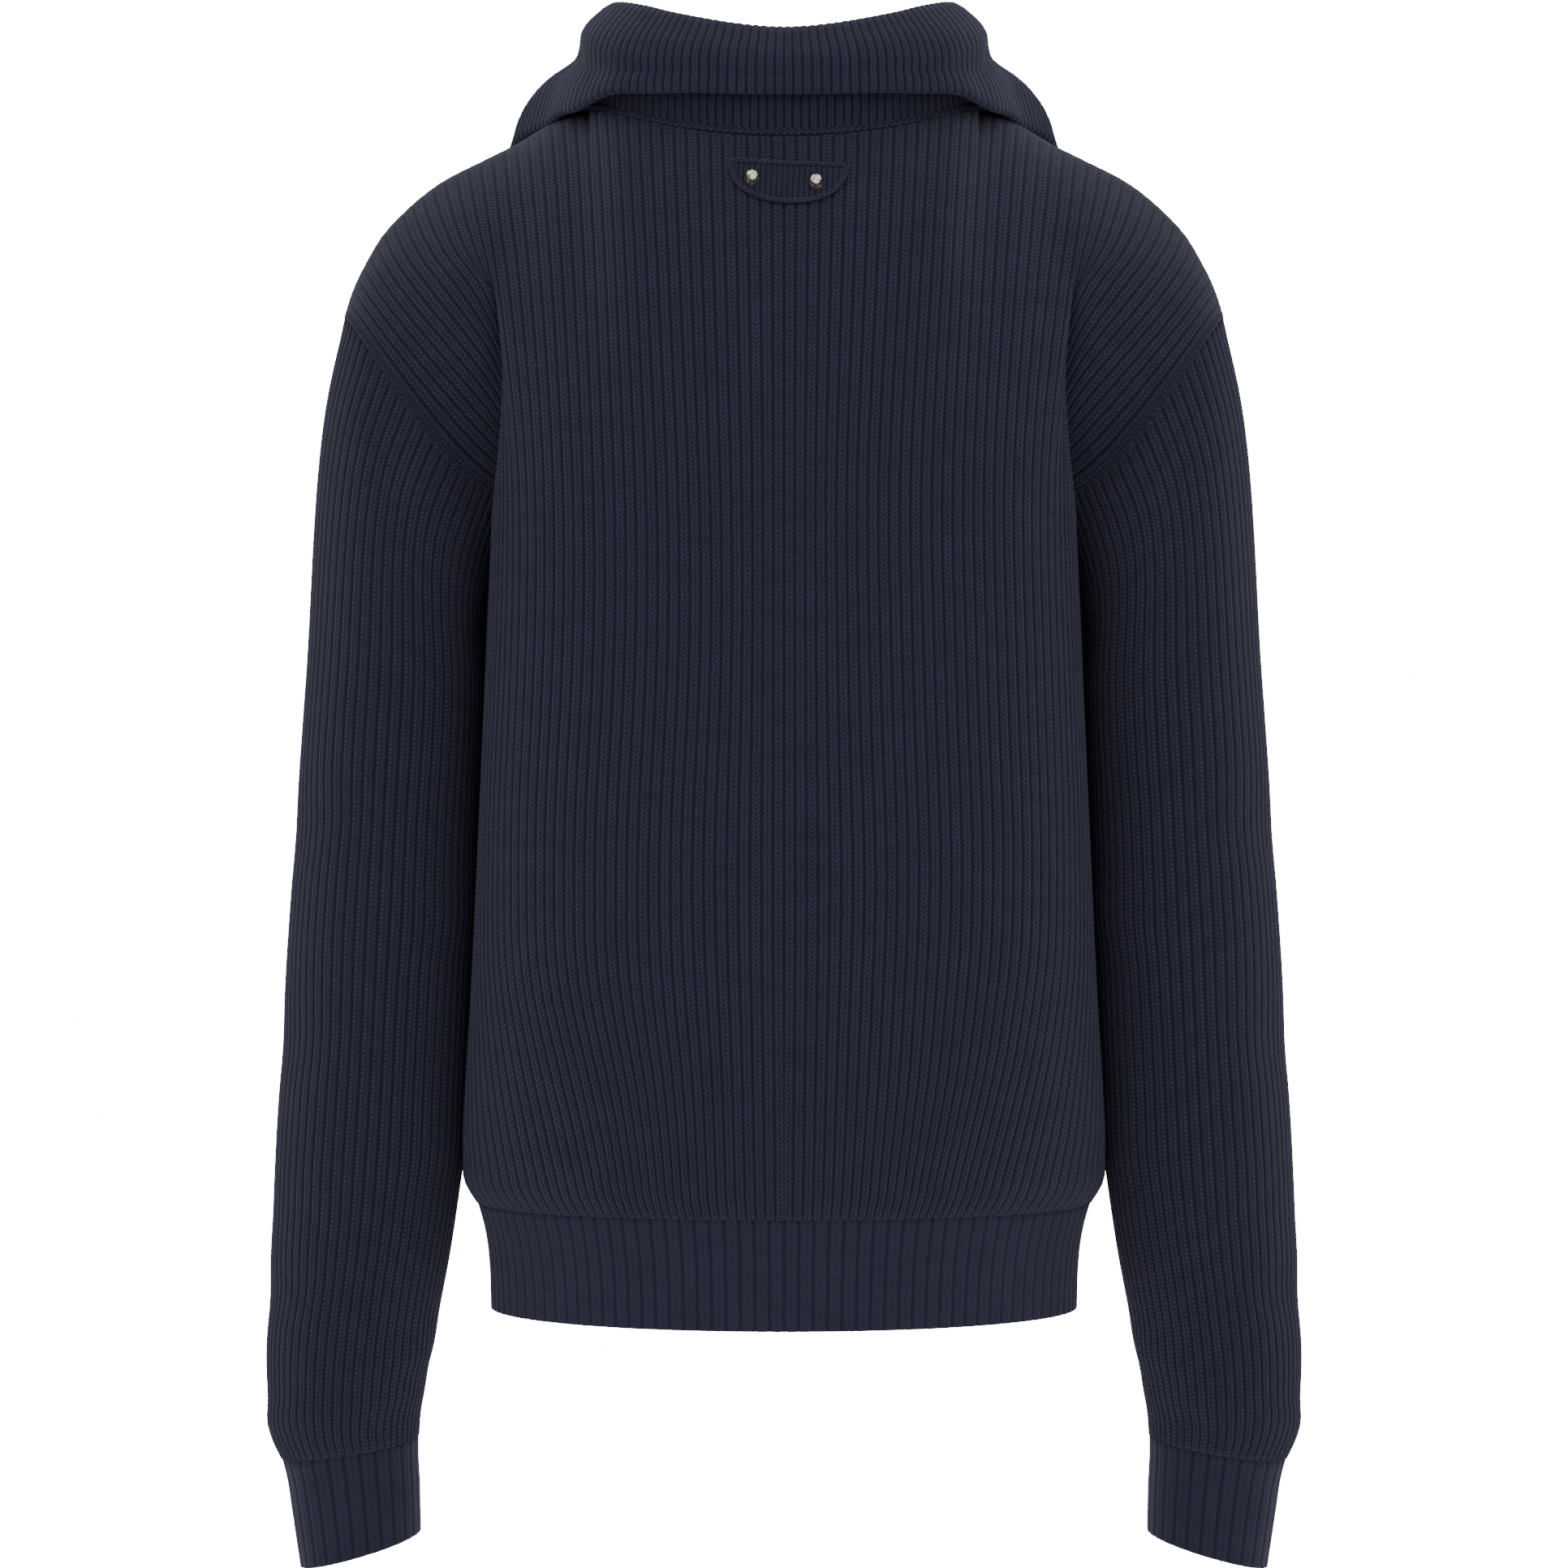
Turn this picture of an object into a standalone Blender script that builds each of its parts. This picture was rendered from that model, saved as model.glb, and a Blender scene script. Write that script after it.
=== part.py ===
"""A half-zip sweater in chunky rib, filled out as it is worn, open at neck, hem and cuffs.

Metres, +Z up, the front faces -Y and the wearer's left is +X. The origin is the middle of
the neck opening at the height of the shoulder-neck points, where the wearer's shoulders
hold the garment. Tables and sizes below are in millimetres and give the outer surface.
"""

import math

import bpy
import numpy as np
from mathutils import Matrix, Vector

MM = 0.001
COLLECTION = "half_zip_sweater"
SEAM_GAP = 0.3
TINY = 1e-9
CURVE_STEPS = 241
RING_STEPS = 360

# Cloth: the wall from the plain inside to a rib's crest, and how deep a groove is.
KNIT_WALL = 4.0
KNIT_GROOVE = 1.8
BAND_WALL = 4.0
BAND_GROOVE = 1.3
COLLAR_WALL = 5.6
COLLAR_GROOVE = 1.3

# Ribs, counted over half a panel, or all round a tube.
PANEL_RIBS = 42
NECK_RIBS = 17
SLEEVE_RIBS = 58
BAND_RIBS = 114
CUFF_RIBS = 28
COLLAR_RIBS = 47
PANEL_INSIDE_RIBS = (0, 5, 10, 14, 17, 20, 23, 25, 27, 29, 31, 34, 38, 42)
RING_INSIDE_STEP = 4

# Torso sections: height, half width, depth behind and in front of the side seam, and how
# square the section is (2 is an ellipse).
TORSO = (
    # z, half_width, back_depth, front_depth, squareness
    (-612.3, 172.6, 113.6, 115.6, 2.15),
    (-598.0, 180.8, 119.6, 121.8, 2.35),
    (-500.0, 177.0, 118.0, 123.0, 2.9),
    (-365.0, 168.5, 115.0, 121.0, 3.5),
    (-235.0, 162.0, 112.0, 119.0, 3.8),
)
YOKE_STEPS = (0.2, 0.4, 0.6, 0.8, 1.0)

# How a place near the neck is found on the back: first guess, bounds, probe and tries.
NEAR_NECK_START = (0.1, 0.8)
NEAR_NECK_SHARES = (0.0, 0.4)
NEAR_NECK_STEPS = (0.3, 1.0)
NEAR_NECK_PROBE = 0.01
NEAR_NECK_TRIES = 12

# Neck seam: how wide, deep and low it is, and how its height bends from centre to side.
NECK_HALF_WIDTH = 110.0
NECK_BACK_DEPTH = 75.0
NECK_BACK_DROP = 24.0
NECK_FRONT_DEPTH = 95.0
NECK_FRONT_DROP = 80.0
NECK_ROUNDNESS = 2.2
NECK_DROP_BEND = 2.15

# Shoulder ridge, from the neck to the top of the armhole.
RIDGE = (
    # x, z
    (110.0, 0.0),
    (149.0, -19.0),
    (167.0, -27.0),
    (196.0, -42.0),
    (213.0, -56.0),
    (226.0, -70.0),
    (234.5, -84.0),
    (241.5, -98.0),
    (247.0, -115.0),
)

# Yoke: how each rib leaves the chest section and how it arrives at its top.
YOKE_BACK = (
    # share, rise, lean, out, drop, inset
    (0.00, 70.0, 5.0, 27.0, 40.0, 0.0),
    (0.30, 75.0, 4.0, 52.0, 26.0, 2.0),
    (0.41, 80.0, 2.0, 74.0, 12.0, 4.0),
    (0.60, 75.0, -2.0, 70.0, 28.0, 6.0),
    (0.72, 60.0, 4.0, 66.0, 32.0, 8.0),
    (0.85, 42.0, 22.0, 66.0, 30.0, 9.0),
    (1.00, 13.0, 50.0, 68.0, 14.0, 9.0),
)
YOKE_FRONT = (
    # share, rise, lean, out, drop, inset
    (0.00, 60.0, 5.0, 16.0, 38.0, 0.0),
    (0.30, 70.0, 3.0, 44.0, 30.0, 2.0),
    (0.41, 80.0, 0.0, 74.0, 14.0, 4.0),
    (0.60, 75.0, -4.0, 70.0, 28.0, 6.0),
    (0.72, 60.0, 3.0, 66.0, 32.0, 8.0),
    (0.85, 42.0, 22.0, 66.0, 30.0, 9.0),
    (1.00, 13.0, 50.0, 68.0, 14.0, 9.0),
)

# The crease between torso and upper arm: where it runs, how deep and wide it sinks.
CREASE_X = 161.0
CREASE_DEPTH = 17.0
CREASE_WIDTH = 19.0
CREASE_TOP = -80.0
CREASE_RUN = 85.0
CREASE_END = 32.0

# Sleeve rings below the armhole: the inner and outer points, half depth and shift in Y.
SLEEVE = (
    # inner_x, inner_z, outer_x, outer_z, half_depth, centre_y
    (165.5, -262.0, 257.8, -172.0, 66.0, -3.0),
    (171.0, -335.0, 270.5, -318.0, 66.0, -6.0),
    (178.5, -460.0, 280.0, -460.0, 62.0, -9.0),
    (185.5, -612.0, 288.4, -614.0, 57.0, -12.0),
    (203.4, -720.0, 291.4, -726.0, 49.0, -14.0),
    (206.5, -747.0, 284.5, -758.5, 42.0, -14.0),
)
CUFF = (
    # inner_x, inner_z, outer_x, outer_z, half_depth, centre_y
    (208.0, -747.6, 281.5, -759.1, 39.5, -14.0),
    (207.0, -773.0, 278.4, -788.0, 37.5, -14.0),
    (209.0, -801.0, 273.4, -820.0, 36.0, -14.0),
)
WAISTBAND = (
    # z, half_width, back_depth, front_depth, squareness
    (-612.7, 170.4, 112.2, 114.2, 2.15),
    (-672.0, 164.0, 111.0, 113.0, 2.05),
)
ARM_ROUNDNESS = 2.15
ARMHOLE_GAP = 0.4
SAME_WAY = 0.5

# Collar: the fold on top and the free edge, from the centre back to the front end.
COLLAR = (
    # share, fold_x, fold_y, fold_z, edge_x, edge_y, edge_z, belly
    (0.00, 0.0, 80.0, 31.0, 0.0, 98.0, -3.0, 1.5),
    (0.20, 57.5, 67.0, 40.5, 69.0, 85.0, 3.0, 2.0),
    (0.36, 88.0, 32.0, 52.0, 113.0, 45.0, 11.0, 5.0),
    (0.47, 96.0, -4.0, 54.0, 123.0, 3.0, 0.0, 1.5),
    (0.60, 101.0, -43.0, 33.5, 151.5, -46.0, -14.0, 13.0),
    (0.76, 88.5, -85.0, 0.0, 146.0, -93.0, -58.0, 7.0),
    (0.90, 52.0, -107.0, -41.0, 121.0, -121.0, -96.0, 4.5),
    (1.00, 22.0, -114.0, -69.0, 92.0, -133.0, -120.0, 2.0),
)
COLLAR_ROLL = 6.0
COLLAR_RISE_BACK = 1.0
COLLAR_RISE_FRONT = 3.6
COLLAR_RISE_START = 0.25
COLLAR_INSET = 2.2
COLLAR_END_X = 6.8

# Neck tab and studs.
TAB_WIDTH = 65.0
TAB_HEIGHT = 21.5
TAB_TOP_Z = -42.0
TAB_LIFT = 0.4
TAB_THICK = 2.0
TAB_BORDER = 0.9
TAB_ROUNDNESS = 2.3
TAB_COLUMNS = 14
TAB_ROWS = 4
TAB_END = 0.985
STUD_HALF_SPACING = 17.5
STUD_Z = -50.0
STUD_BASE = 4.3
STUD_TOP = 2.75
STUD_HEIGHT = 5.2
STUD_SIDES = 8

# Zip.
SLIT_BOTTOM = -233.0
SLIT_HALF_WIDTH = 6.2
SLIT_ABOVE = 30.0
SLIT_CUT_DEPTH = 80.0
TAPE_WIDTH = 5.5
TAPE_THICK = 1.2
TAPE_SINK = 1.6
TAPE_GAP = 0.8
TAPE_STATIONS = 7
TAPE_START = 1.0
TAPE_ABOVE_SEAM = 2.0
SLIDER_Z = -98.0
SLIDER_SIZE = (8.4, 3.6, 10.5)
SLIDER_LIFT = 0.5
SLIDER_EDGE = 0.8
LEAN_SPAN = 6.0
LUG_X = 2.9
LUG_WIDTH = 1.6
LUG_RADIUS = 1.5
LUG_ROOT = 0.5
PULL_SIZE = (5.6, 1.4, 21.0)
PULL_REACH = 2.2
PULL_NECK = 2.6
PULL_AXIS_Z = 2.0
PULL_EDGE = 0.5
NECK_THICK = 1.26
NECK_ROOT = 2.0
BARREL_SIDES = 16
BARREL_RADIUS = 1.3
BARREL_LENGTH = 3.2
STOP_SIZE = (7.0, 2.4, 3.2)
STOP_LIFT = 0.5
STOP_EDGE = 0.6


def table_at(table, share):
    """The rest of a table's row at a share in its first column, along a smooth curve."""
    rows = np.asarray(table, float)
    knots, values = rows[:, 0], rows[:, 1:]
    slopes = np.gradient(values, knots, axis=0)
    index = int(np.clip(np.searchsorted(knots, share) - 1, 0, len(knots) - 2))
    span = knots[index + 1] - knots[index]
    t = (share - knots[index]) / span
    start = (2 * t**3 - 3 * t**2 + 1) * values[index] + (t**3 - 2 * t**2 + t) * span * slopes[index]
    end = (3 * t**2 - 2 * t**3) * values[index + 1] + (t**3 - t**2) * span * slopes[index + 1]
    return start + end


def along(points, shares):
    """Points at shares of the length of a polyline."""
    points = np.asarray(points, float)
    steps = np.linalg.norm(np.diff(points, axis=0), axis=1)
    length = np.concatenate([[0.0], np.cumsum(steps)])
    return np.stack(
        [np.interp(np.asarray(shares) * length[-1], length, points[:, k]) for k in range(3)],
        axis=-1,
    )


def unit(vectors):
    return vectors / (np.linalg.norm(vectors, axis=-1, keepdims=True) + TINY)


def smooth(value):
    value = np.clip(value, 0.0, 1.0)
    return value * value * (3 - 2 * value)


def quarter(half_width, depth, z, squareness, shares):
    """A quarter of a squarish section, from its middle to its side, at shares of its length."""
    angle = np.linspace(0.0, math.pi / 2, CURVE_STEPS)
    power = 2 / squareness
    x = half_width * np.sin(angle) ** power
    y = depth * np.cos(angle).clip(0.0) ** power
    return along(np.stack([x, y, np.full_like(x, z)], axis=-1), shares)


def neck_quarter(depth, drop, shares):
    """Half the neck seam of one panel, from its middle to the shoulder."""
    angle = np.linspace(0.0, math.pi / 2, CURVE_STEPS)
    x = NECK_HALF_WIDTH * np.sin(angle) ** (2 / NECK_ROUNDNESS)
    y = depth * np.cos(angle).clip(0.0) ** (2 / NECK_ROUNDNESS)
    z = -drop * (1 - (x / NECK_HALF_WIDTH) ** NECK_DROP_BEND)
    return along(np.stack([x, y, z], axis=-1), shares)


def panel_top(depth, drop, share):
    """Where a rib at this share of the half panel ends: on the neck seam or on the ridge."""
    neck_share = NECK_RIBS / PANEL_RIBS
    if share <= neck_share:
        return neck_quarter(depth, drop, [share / neck_share])[0]
    ridge = np.array([(x, 0.0, z) for x, z in RIDGE])
    return along(ridge, [(share - neck_share) / (1 - neck_share)])[0]


def crease(x, z):
    """How far the surface sinks at the crease between torso and upper arm."""
    fade = smooth((CREASE_TOP - z) / CREASE_RUN) * smooth((z - TORSO[-1][0]) / CREASE_END)
    return CREASE_DEPTH * fade * math.exp(-(((x - CREASE_X) / CREASE_WIDTH) ** 2))


def yoke_point(share, step, back):
    """A point of the upper panel: how far out the rib is, and how far up it."""
    depth, drop = (NECK_BACK_DEPTH, NECK_BACK_DROP) if back else (NECK_FRONT_DEPTH, NECK_FRONT_DROP)
    z, half_width, back_depth, front_depth, squareness = TORSO[-1]
    start = quarter(half_width, back_depth if back else front_depth, z, squareness, [share])[0]
    top = panel_top(depth, drop, share)
    rise, lean, out, low, inset = table_at(YOKE_BACK if back else YOKE_FRONT, share)
    leave = start + np.array([0.0, lean, rise])
    arrive = top + np.array([-inset, out, -low])
    s = 1 - step
    point = s**3 * start + 3 * s * s * step * leave + 3 * s * step * step * arrive + step**3 * top
    point[1] -= crease(point[0], point[2])
    return point


def panel_point(share, level, back):
    """A point of a panel, with y measured outward. Levels count the torso and yoke rows."""
    if level < len(TORSO):
        z, half_width, back_depth, front_depth, squareness = TORSO[level]
        depth = back_depth if back else front_depth
        point = quarter(half_width, depth, z, squareness, [abs(share)])[0]
    else:
        point = yoke_point(abs(share), YOKE_STEPS[level - len(TORSO)], back)
    return np.array([math.copysign(point[0], share), point[1], point[2]])


def panel_grid(back):
    """Rows of a panel's outer surface from hem to top, two columns a rib, right to left."""
    levels = range(len(TORSO) + len(YOKE_STEPS))
    shares = np.arange(-2 * PANEL_RIBS, 2 * PANEL_RIBS + 1) / (2 * PANEL_RIBS)
    side = 1 if back else -1
    grid = np.array([[panel_point(share, level, back) for share in shares] for level in levels])
    grid[..., 1] = np.maximum(grid[..., 1], SEAM_GAP / 2) * side
    return grid


def normals_of(grid, ring, flip):
    """Unit normals of a grid of points, from its neighbours along both directions."""
    if ring:
        wide = np.concatenate([grid[:, -1:], grid, grid[:, :1]], axis=1)
        across = np.gradient(wide, axis=1)[:, 1:-1]
    else:
        across = np.gradient(grid, axis=1)
    up = np.gradient(grid, axis=0)
    normal = unit(np.cross(across, up))
    return -normal if flip else normal


def ribbed(grid, normals, groove):
    """The outer skin: even columns sink into grooves and odd ones are a rib's crest."""
    sink = np.where(np.arange(grid.shape[1]) % 2 == 0, groove, 0.0)
    return grid - normals * sink[None, :, None]


def wall_faces(rows, columns, keep_rows, keep_columns, ring):
    """Faces that close a fine outer skin, a coarse inner skin and the rims between them."""
    inside = rows * columns
    kept = len(keep_columns)

    def outer(i, j):
        return i * columns + j % columns

    def inner(i, j):
        return inside + i * kept + j % kept

    faces = []
    for i in range(rows - 1):
        for j in range(columns if ring else columns - 1):
            faces.append((outer(i, j), outer(i, j + 1), outer(i + 1, j + 1), outer(i + 1, j)))
    spans = kept if ring else kept - 1
    for i in range(len(keep_rows) - 1):
        for j in range(spans):
            faces.append((inner(i, j), inner(i + 1, j), inner(i + 1, j + 1), inner(i, j + 1)))
    last = len(keep_rows) - 1
    for j in range(spans):
        a = keep_columns[j]
        b = keep_columns[j + 1] if j + 1 < kept else columns
        low = [outer(0, k) for k in range(b, a - 1, -1)]
        faces.append((*low, inner(0, j), inner(0, j + 1)))
        high = [outer(rows - 1, k) for k in range(a, b + 1)]
        faces.append((*high, inner(last, j + 1), inner(last, j)))
    if not ring:
        for i in range(last):
            a, b = keep_rows[i], keep_rows[i + 1]
            first = [outer(k, 0) for k in range(a, b + 1)]
            faces.append((*first, inner(i + 1, 0), inner(i, 0)))
            far = [outer(k, columns - 1) for k in range(b, a - 1, -1)]
            faces.append((*far, inner(i, kept - 1), inner(i + 1, kept - 1)))
    return faces


def add_mesh(name, points, faces, finish):
    """A mesh object from points in millimetres and faces, in the garment's collection."""
    mesh = bpy.data.meshes.new(name)
    mesh.from_pydata([tuple(p * MM) for p in points], [], faces)
    mesh.materials.append(finish)
    obj = bpy.data.objects.new(name, mesh)
    bpy.data.collections[COLLECTION].objects.link(obj)
    return obj


def add_wall(name, grid, normals, sizes, keep, finish, ring=False, flip=False):
    """One closed wall: ribs outside, plain inside, on a grid of outer surface points."""
    thick, groove = sizes
    keep_rows, keep_columns = keep
    skin = ribbed(grid, normals, groove)
    plain = (grid - normals * thick)[np.ix_(keep_rows, keep_columns)]
    points = np.concatenate([skin.reshape(-1, 3), plain.reshape(-1, 3)])
    faces = wall_faces(*grid.shape[:2], keep_rows, keep_columns, ring)
    if flip:
        faces = [face[::-1] for face in faces]
    return add_mesh(name, points, faces, finish)


def seam_normals(grid, back):
    """A panel's normals, square to its shoulder and side seams so that the pieces abut."""
    normals = normals_of(grid, ring=False, flip=back)
    shares = np.abs(np.arange(-2 * PANEL_RIBS, 2 * PANEL_RIBS + 1)) / (2 * PANEL_RIBS)
    on_ridge = shares >= NECK_RIBS / PANEL_RIBS
    normals[-1, on_ridge, 1] = 0.0
    normals[: len(TORSO), [0, -1], 1] = 0.0
    return unit(normals)


def build_panel(name, back, finish):
    """The back or front panel, and its outer surface for the pieces that join it."""
    grid = panel_grid(back)
    normals = seam_normals(grid, back)
    right = [2 * (PANEL_RIBS - rib) for rib in reversed(PANEL_INSIDE_RIBS)]
    left = [2 * (PANEL_RIBS + rib) for rib in PANEL_INSIDE_RIBS[1:]]
    keep = (list(range(len(grid))), right + left)
    obj = add_wall(name, grid, normals, (KNIT_WALL, KNIT_GROOVE), keep, finish, flip=back)
    return obj, grid, normals


def cut_slit(front):
    """Opens the front panel's slit for the zip."""
    bpy.ops.mesh.primitive_cube_add(size=1.0)
    cutter = bpy.context.object
    cutter.name = "slit_cutter"
    top = -NECK_FRONT_DROP + SLIT_ABOVE
    cutter.scale = (2 * SLIT_HALF_WIDTH * MM, SLIT_CUT_DEPTH * MM, (top - SLIT_BOTTOM) * MM)
    cutter.location = (0.0, -NECK_FRONT_DEPTH * MM, (top + SLIT_BOTTOM) / 2 * MM)
    cutter.hide_render = True
    cutter.display_type = "WIRE"
    for collection in list(cutter.users_collection):
        collection.objects.unlink(cutter)
    bpy.data.collections["cutters"].objects.link(cutter)
    slit = front.modifiers.new("slit", "BOOLEAN")
    slit.operation = "DIFFERENCE"
    slit.object = cutter


def torso_ring(rows, ribs):
    """Rings of a tube that goes all round the torso, two columns a rib."""
    steps = np.arange(2 * ribs) / (2 * ribs)
    rings = []
    for z, half_width, back_depth, front_depth, squareness in rows:
        shares = np.linspace(0.0, 1.0, CURVE_STEPS)
        behind = quarter(half_width, back_depth, z, squareness, shares)
        ahead = quarter(half_width, front_depth, z, squareness, shares) * (1, -1, 1)
        loop = np.concatenate(
            [behind, ahead[::-1][1:], ahead[1:] * (-1, 1, 1), behind[::-1][1:] * (-1, 1, 1)]
        )
        rings.append(along(loop, steps))
    return np.array(rings)


def build_waistband(finish):
    grid = torso_ring(WAISTBAND, BAND_RIBS)
    normals = normals_of(grid, ring=True, flip=False)
    keep = ([0, 1], list(range(0, grid.shape[1], 2 * RING_INSIDE_STEP)))
    add_wall("waistband", grid, normals, (BAND_WALL, BAND_GROOVE), keep, finish, ring=True)


def arm_ring(row, angles):
    """A ring round the left arm, from its outer point round the back, the inside and front."""
    inner_x, inner_z, outer_x, outer_z, half_depth, centre_y = row
    inner = np.array([inner_x, centre_y, inner_z])
    outer = np.array([outer_x, centre_y, outer_z])
    power = 2 / ARM_ROUNDNESS
    along_arm = np.sign(np.cos(angles)) * np.abs(np.cos(angles)) ** power
    behind = np.sign(np.sin(angles)) * np.abs(np.sin(angles)) ** power
    centre, half = (inner + outer) / 2, (outer - inner) / 2
    deep = np.array([0.0, half_depth, 0.0])
    return centre + along_arm[:, None] * half + behind[:, None] * deep


def even_ring(loop, count):
    """A closed loop's points again, evenly spaced along it."""
    closed = np.concatenate([loop, loop[:1]])
    return along(closed, np.arange(count) / count)


def armhole_loop(back_grid, front_grid, count):
    """The armhole seam on the left, from the shoulder down the back and up the front."""
    first = len(TORSO) - 1
    behind = back_grid[first:, -1][::-1]
    ahead = front_grid[first:, -1]
    top = (behind[0] + ahead[-1]) / 2
    bottom = (behind[-1] + ahead[0]) / 2
    half = count // 2
    down = along([top, *behind[1:-1], bottom], np.arange(half) / half)
    up = along([bottom, *ahead[1:-1], top], np.arange(half) / half)
    return np.concatenate([down, up])


def sleeve_grid(back_grid, front_grid):
    """Rings of the left sleeve's outer surface, from armhole to cuff."""
    count = 2 * SLEEVE_RIBS
    angles = np.linspace(0.0, 2 * math.pi, RING_STEPS, endpoint=False)
    rings = [even_ring(arm_ring(row, angles), count) for row in SLEEVE]
    loop = armhole_loop(back_grid, front_grid, count)
    loop = loop + unit(rings[0] - loop) * ARMHOLE_GAP
    return np.array([loop, *rings])


def mirrored(grid):
    """The same rings on the other arm, with the columns still running the same way round."""
    return (grid * (-1, 1, 1))[:, ::-1]


def armhole_normals(grid, normals, panels):
    """Turns the sleeve's first normals halfway to the panels' so that the walls abut."""
    first = len(TORSO) - 1
    edge = np.concatenate([g[first:, -1] for g, _ in panels])
    facing = np.concatenate([n[first:, -1] for _, n in panels])
    for j, point in enumerate(grid[0]):
        near = facing[np.argmin(np.linalg.norm(edge - point, axis=1))]
        if near @ normals[0, j] > SAME_WAY:
            normals[0, j] = unit(near + normals[0, j])
    return normals


def build_sleeves(back, front, finish):
    """Both sleeves: the left one's rings, and the same mirrored."""
    left = sleeve_grid(back[0], front[0])
    normals = normals_of(left, ring=True, flip=True)
    normals = armhole_normals(left, normals, (back, front))
    keep_rows = list(range(len(left)))
    keep = (keep_rows, list(range(0, left.shape[1], RING_INSIDE_STEP)))
    sizes = (KNIT_WALL, KNIT_GROOVE)
    add_wall("sleeve_left", left, normals, sizes, keep, finish, ring=True, flip=True)
    right = np.roll(mirrored(left), 1, axis=1)
    turned = np.roll(mirrored(normals), 1, axis=1)
    add_wall("sleeve_right", right, turned, sizes, keep, finish, ring=True, flip=True)


def build_cuffs(finish):
    angles = np.linspace(0.0, 2 * math.pi, RING_STEPS, endpoint=False)
    left = np.array([even_ring(arm_ring(row, angles), 2 * CUFF_RIBS) for row in CUFF])
    normals = normals_of(left, ring=True, flip=True)
    keep = ([0, 1, 2], list(range(0, left.shape[1], RING_INSIDE_STEP)))
    sizes = (BAND_WALL, BAND_GROOVE)
    add_wall("cuff_left", left, normals, sizes, keep, finish, ring=True, flip=True)
    right = np.roll(mirrored(left), 1, axis=1)
    turned = np.roll(mirrored(normals), 1, axis=1)
    add_wall("cuff_right", right, turned, sizes, keep, finish, ring=True, flip=True)


def neck_half_loop():
    """The neck seam's left half, from centre back over the shoulder to the slit."""
    shares = np.linspace(0.0, 1.0, CURVE_STEPS)
    behind = neck_quarter(NECK_BACK_DEPTH, NECK_BACK_DROP, shares)
    ahead = neck_quarter(NECK_FRONT_DEPTH, NECK_FRONT_DROP, shares) * (1, -1, 1)
    ahead = ahead[::-1]
    return np.concatenate([behind, ahead[1:][ahead[1:, 0] > COLLAR_END_X]])


def collar_section(share, seam):
    """Middle points across the collar: seam, stand, round over the fold, fall, free edge."""
    row = table_at(COLLAR, share)
    fold, edge, belly = row[:3], row[3:6], row[6]
    inward = unit(np.array([-seam[0], -seam[1], 0.0]))
    onward = smooth((share - COLLAR_RISE_START) / (1 - COLLAR_RISE_START))
    rise = COLLAR_RISE_BACK + (COLLAR_RISE_FRONT - COLLAR_RISE_BACK) * onward
    foot = seam + inward * COLLAR_INSET + np.array([0.0, 0.0, rise])
    up = unit(fold - foot)
    out = unit((edge - fold) - ((edge - fold) @ up) * up)
    centre = fold - up * COLLAR_ROLL
    stand_top = centre - out * COLLAR_ROLL
    fall_top = centre + out * COLLAR_ROLL
    stand = (foot + stand_top) / 2
    fall = (fall_top + edge) / 2 + out * belly
    return np.array([foot, stand, stand_top, fold, fall_top, fall, edge])


def collar_grid():
    """Rows across the collar and columns from its right front end round to the left one."""
    count = 2 * COLLAR_RIBS
    shares = np.arange(count + 1) / count
    seam = along(neck_half_loop(), shares)
    half = np.array([collar_section(share, point) for share, point in zip(shares, seam)])
    other = half[::-1][:-1] * (-1, 1, 1)
    return np.concatenate([other, half]).transpose(1, 0, 2)


def build_collar(finish):
    grid = collar_grid()
    normals = normals_of(grid, ring=False, flip=False)
    outer = grid + normals * COLLAR_WALL / 2
    keep = (list(range(len(grid))), list(range(0, grid.shape[1], 2 * RING_INSIDE_STEP)))
    if keep[1][-1] != grid.shape[1] - 1:
        keep[1].append(grid.shape[1] - 1)
    add_wall("collar", outer, normals, (COLLAR_WALL, COLLAR_GROOVE), keep, finish)
    return grid, normals


def on_back(x, z):
    """The back's outer surface and its normal at a place seen from behind, near the neck."""

    def at(share, step):
        return yoke_point(share, step, True)

    probe = NEAR_NECK_PROBE
    share, step = NEAR_NECK_START
    for _ in range(NEAR_NECK_TRIES):
        point = at(share, step)
        wide = (at(share + probe, step) - point) / probe
        high = (at(share, step + probe) - point) / probe
        share = float(np.clip(share + (abs(x) - point[0]) / wide[0], *NEAR_NECK_SHARES))
        step = float(np.clip(step + (z - at(share, step)[2]) / high[2], *NEAR_NECK_STEPS))
    normal = unit(np.cross(high, wide))
    if x < 0:
        return point * (-1, 1, 1), normal * (-1, 1, 1)
    return point, normal


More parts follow.
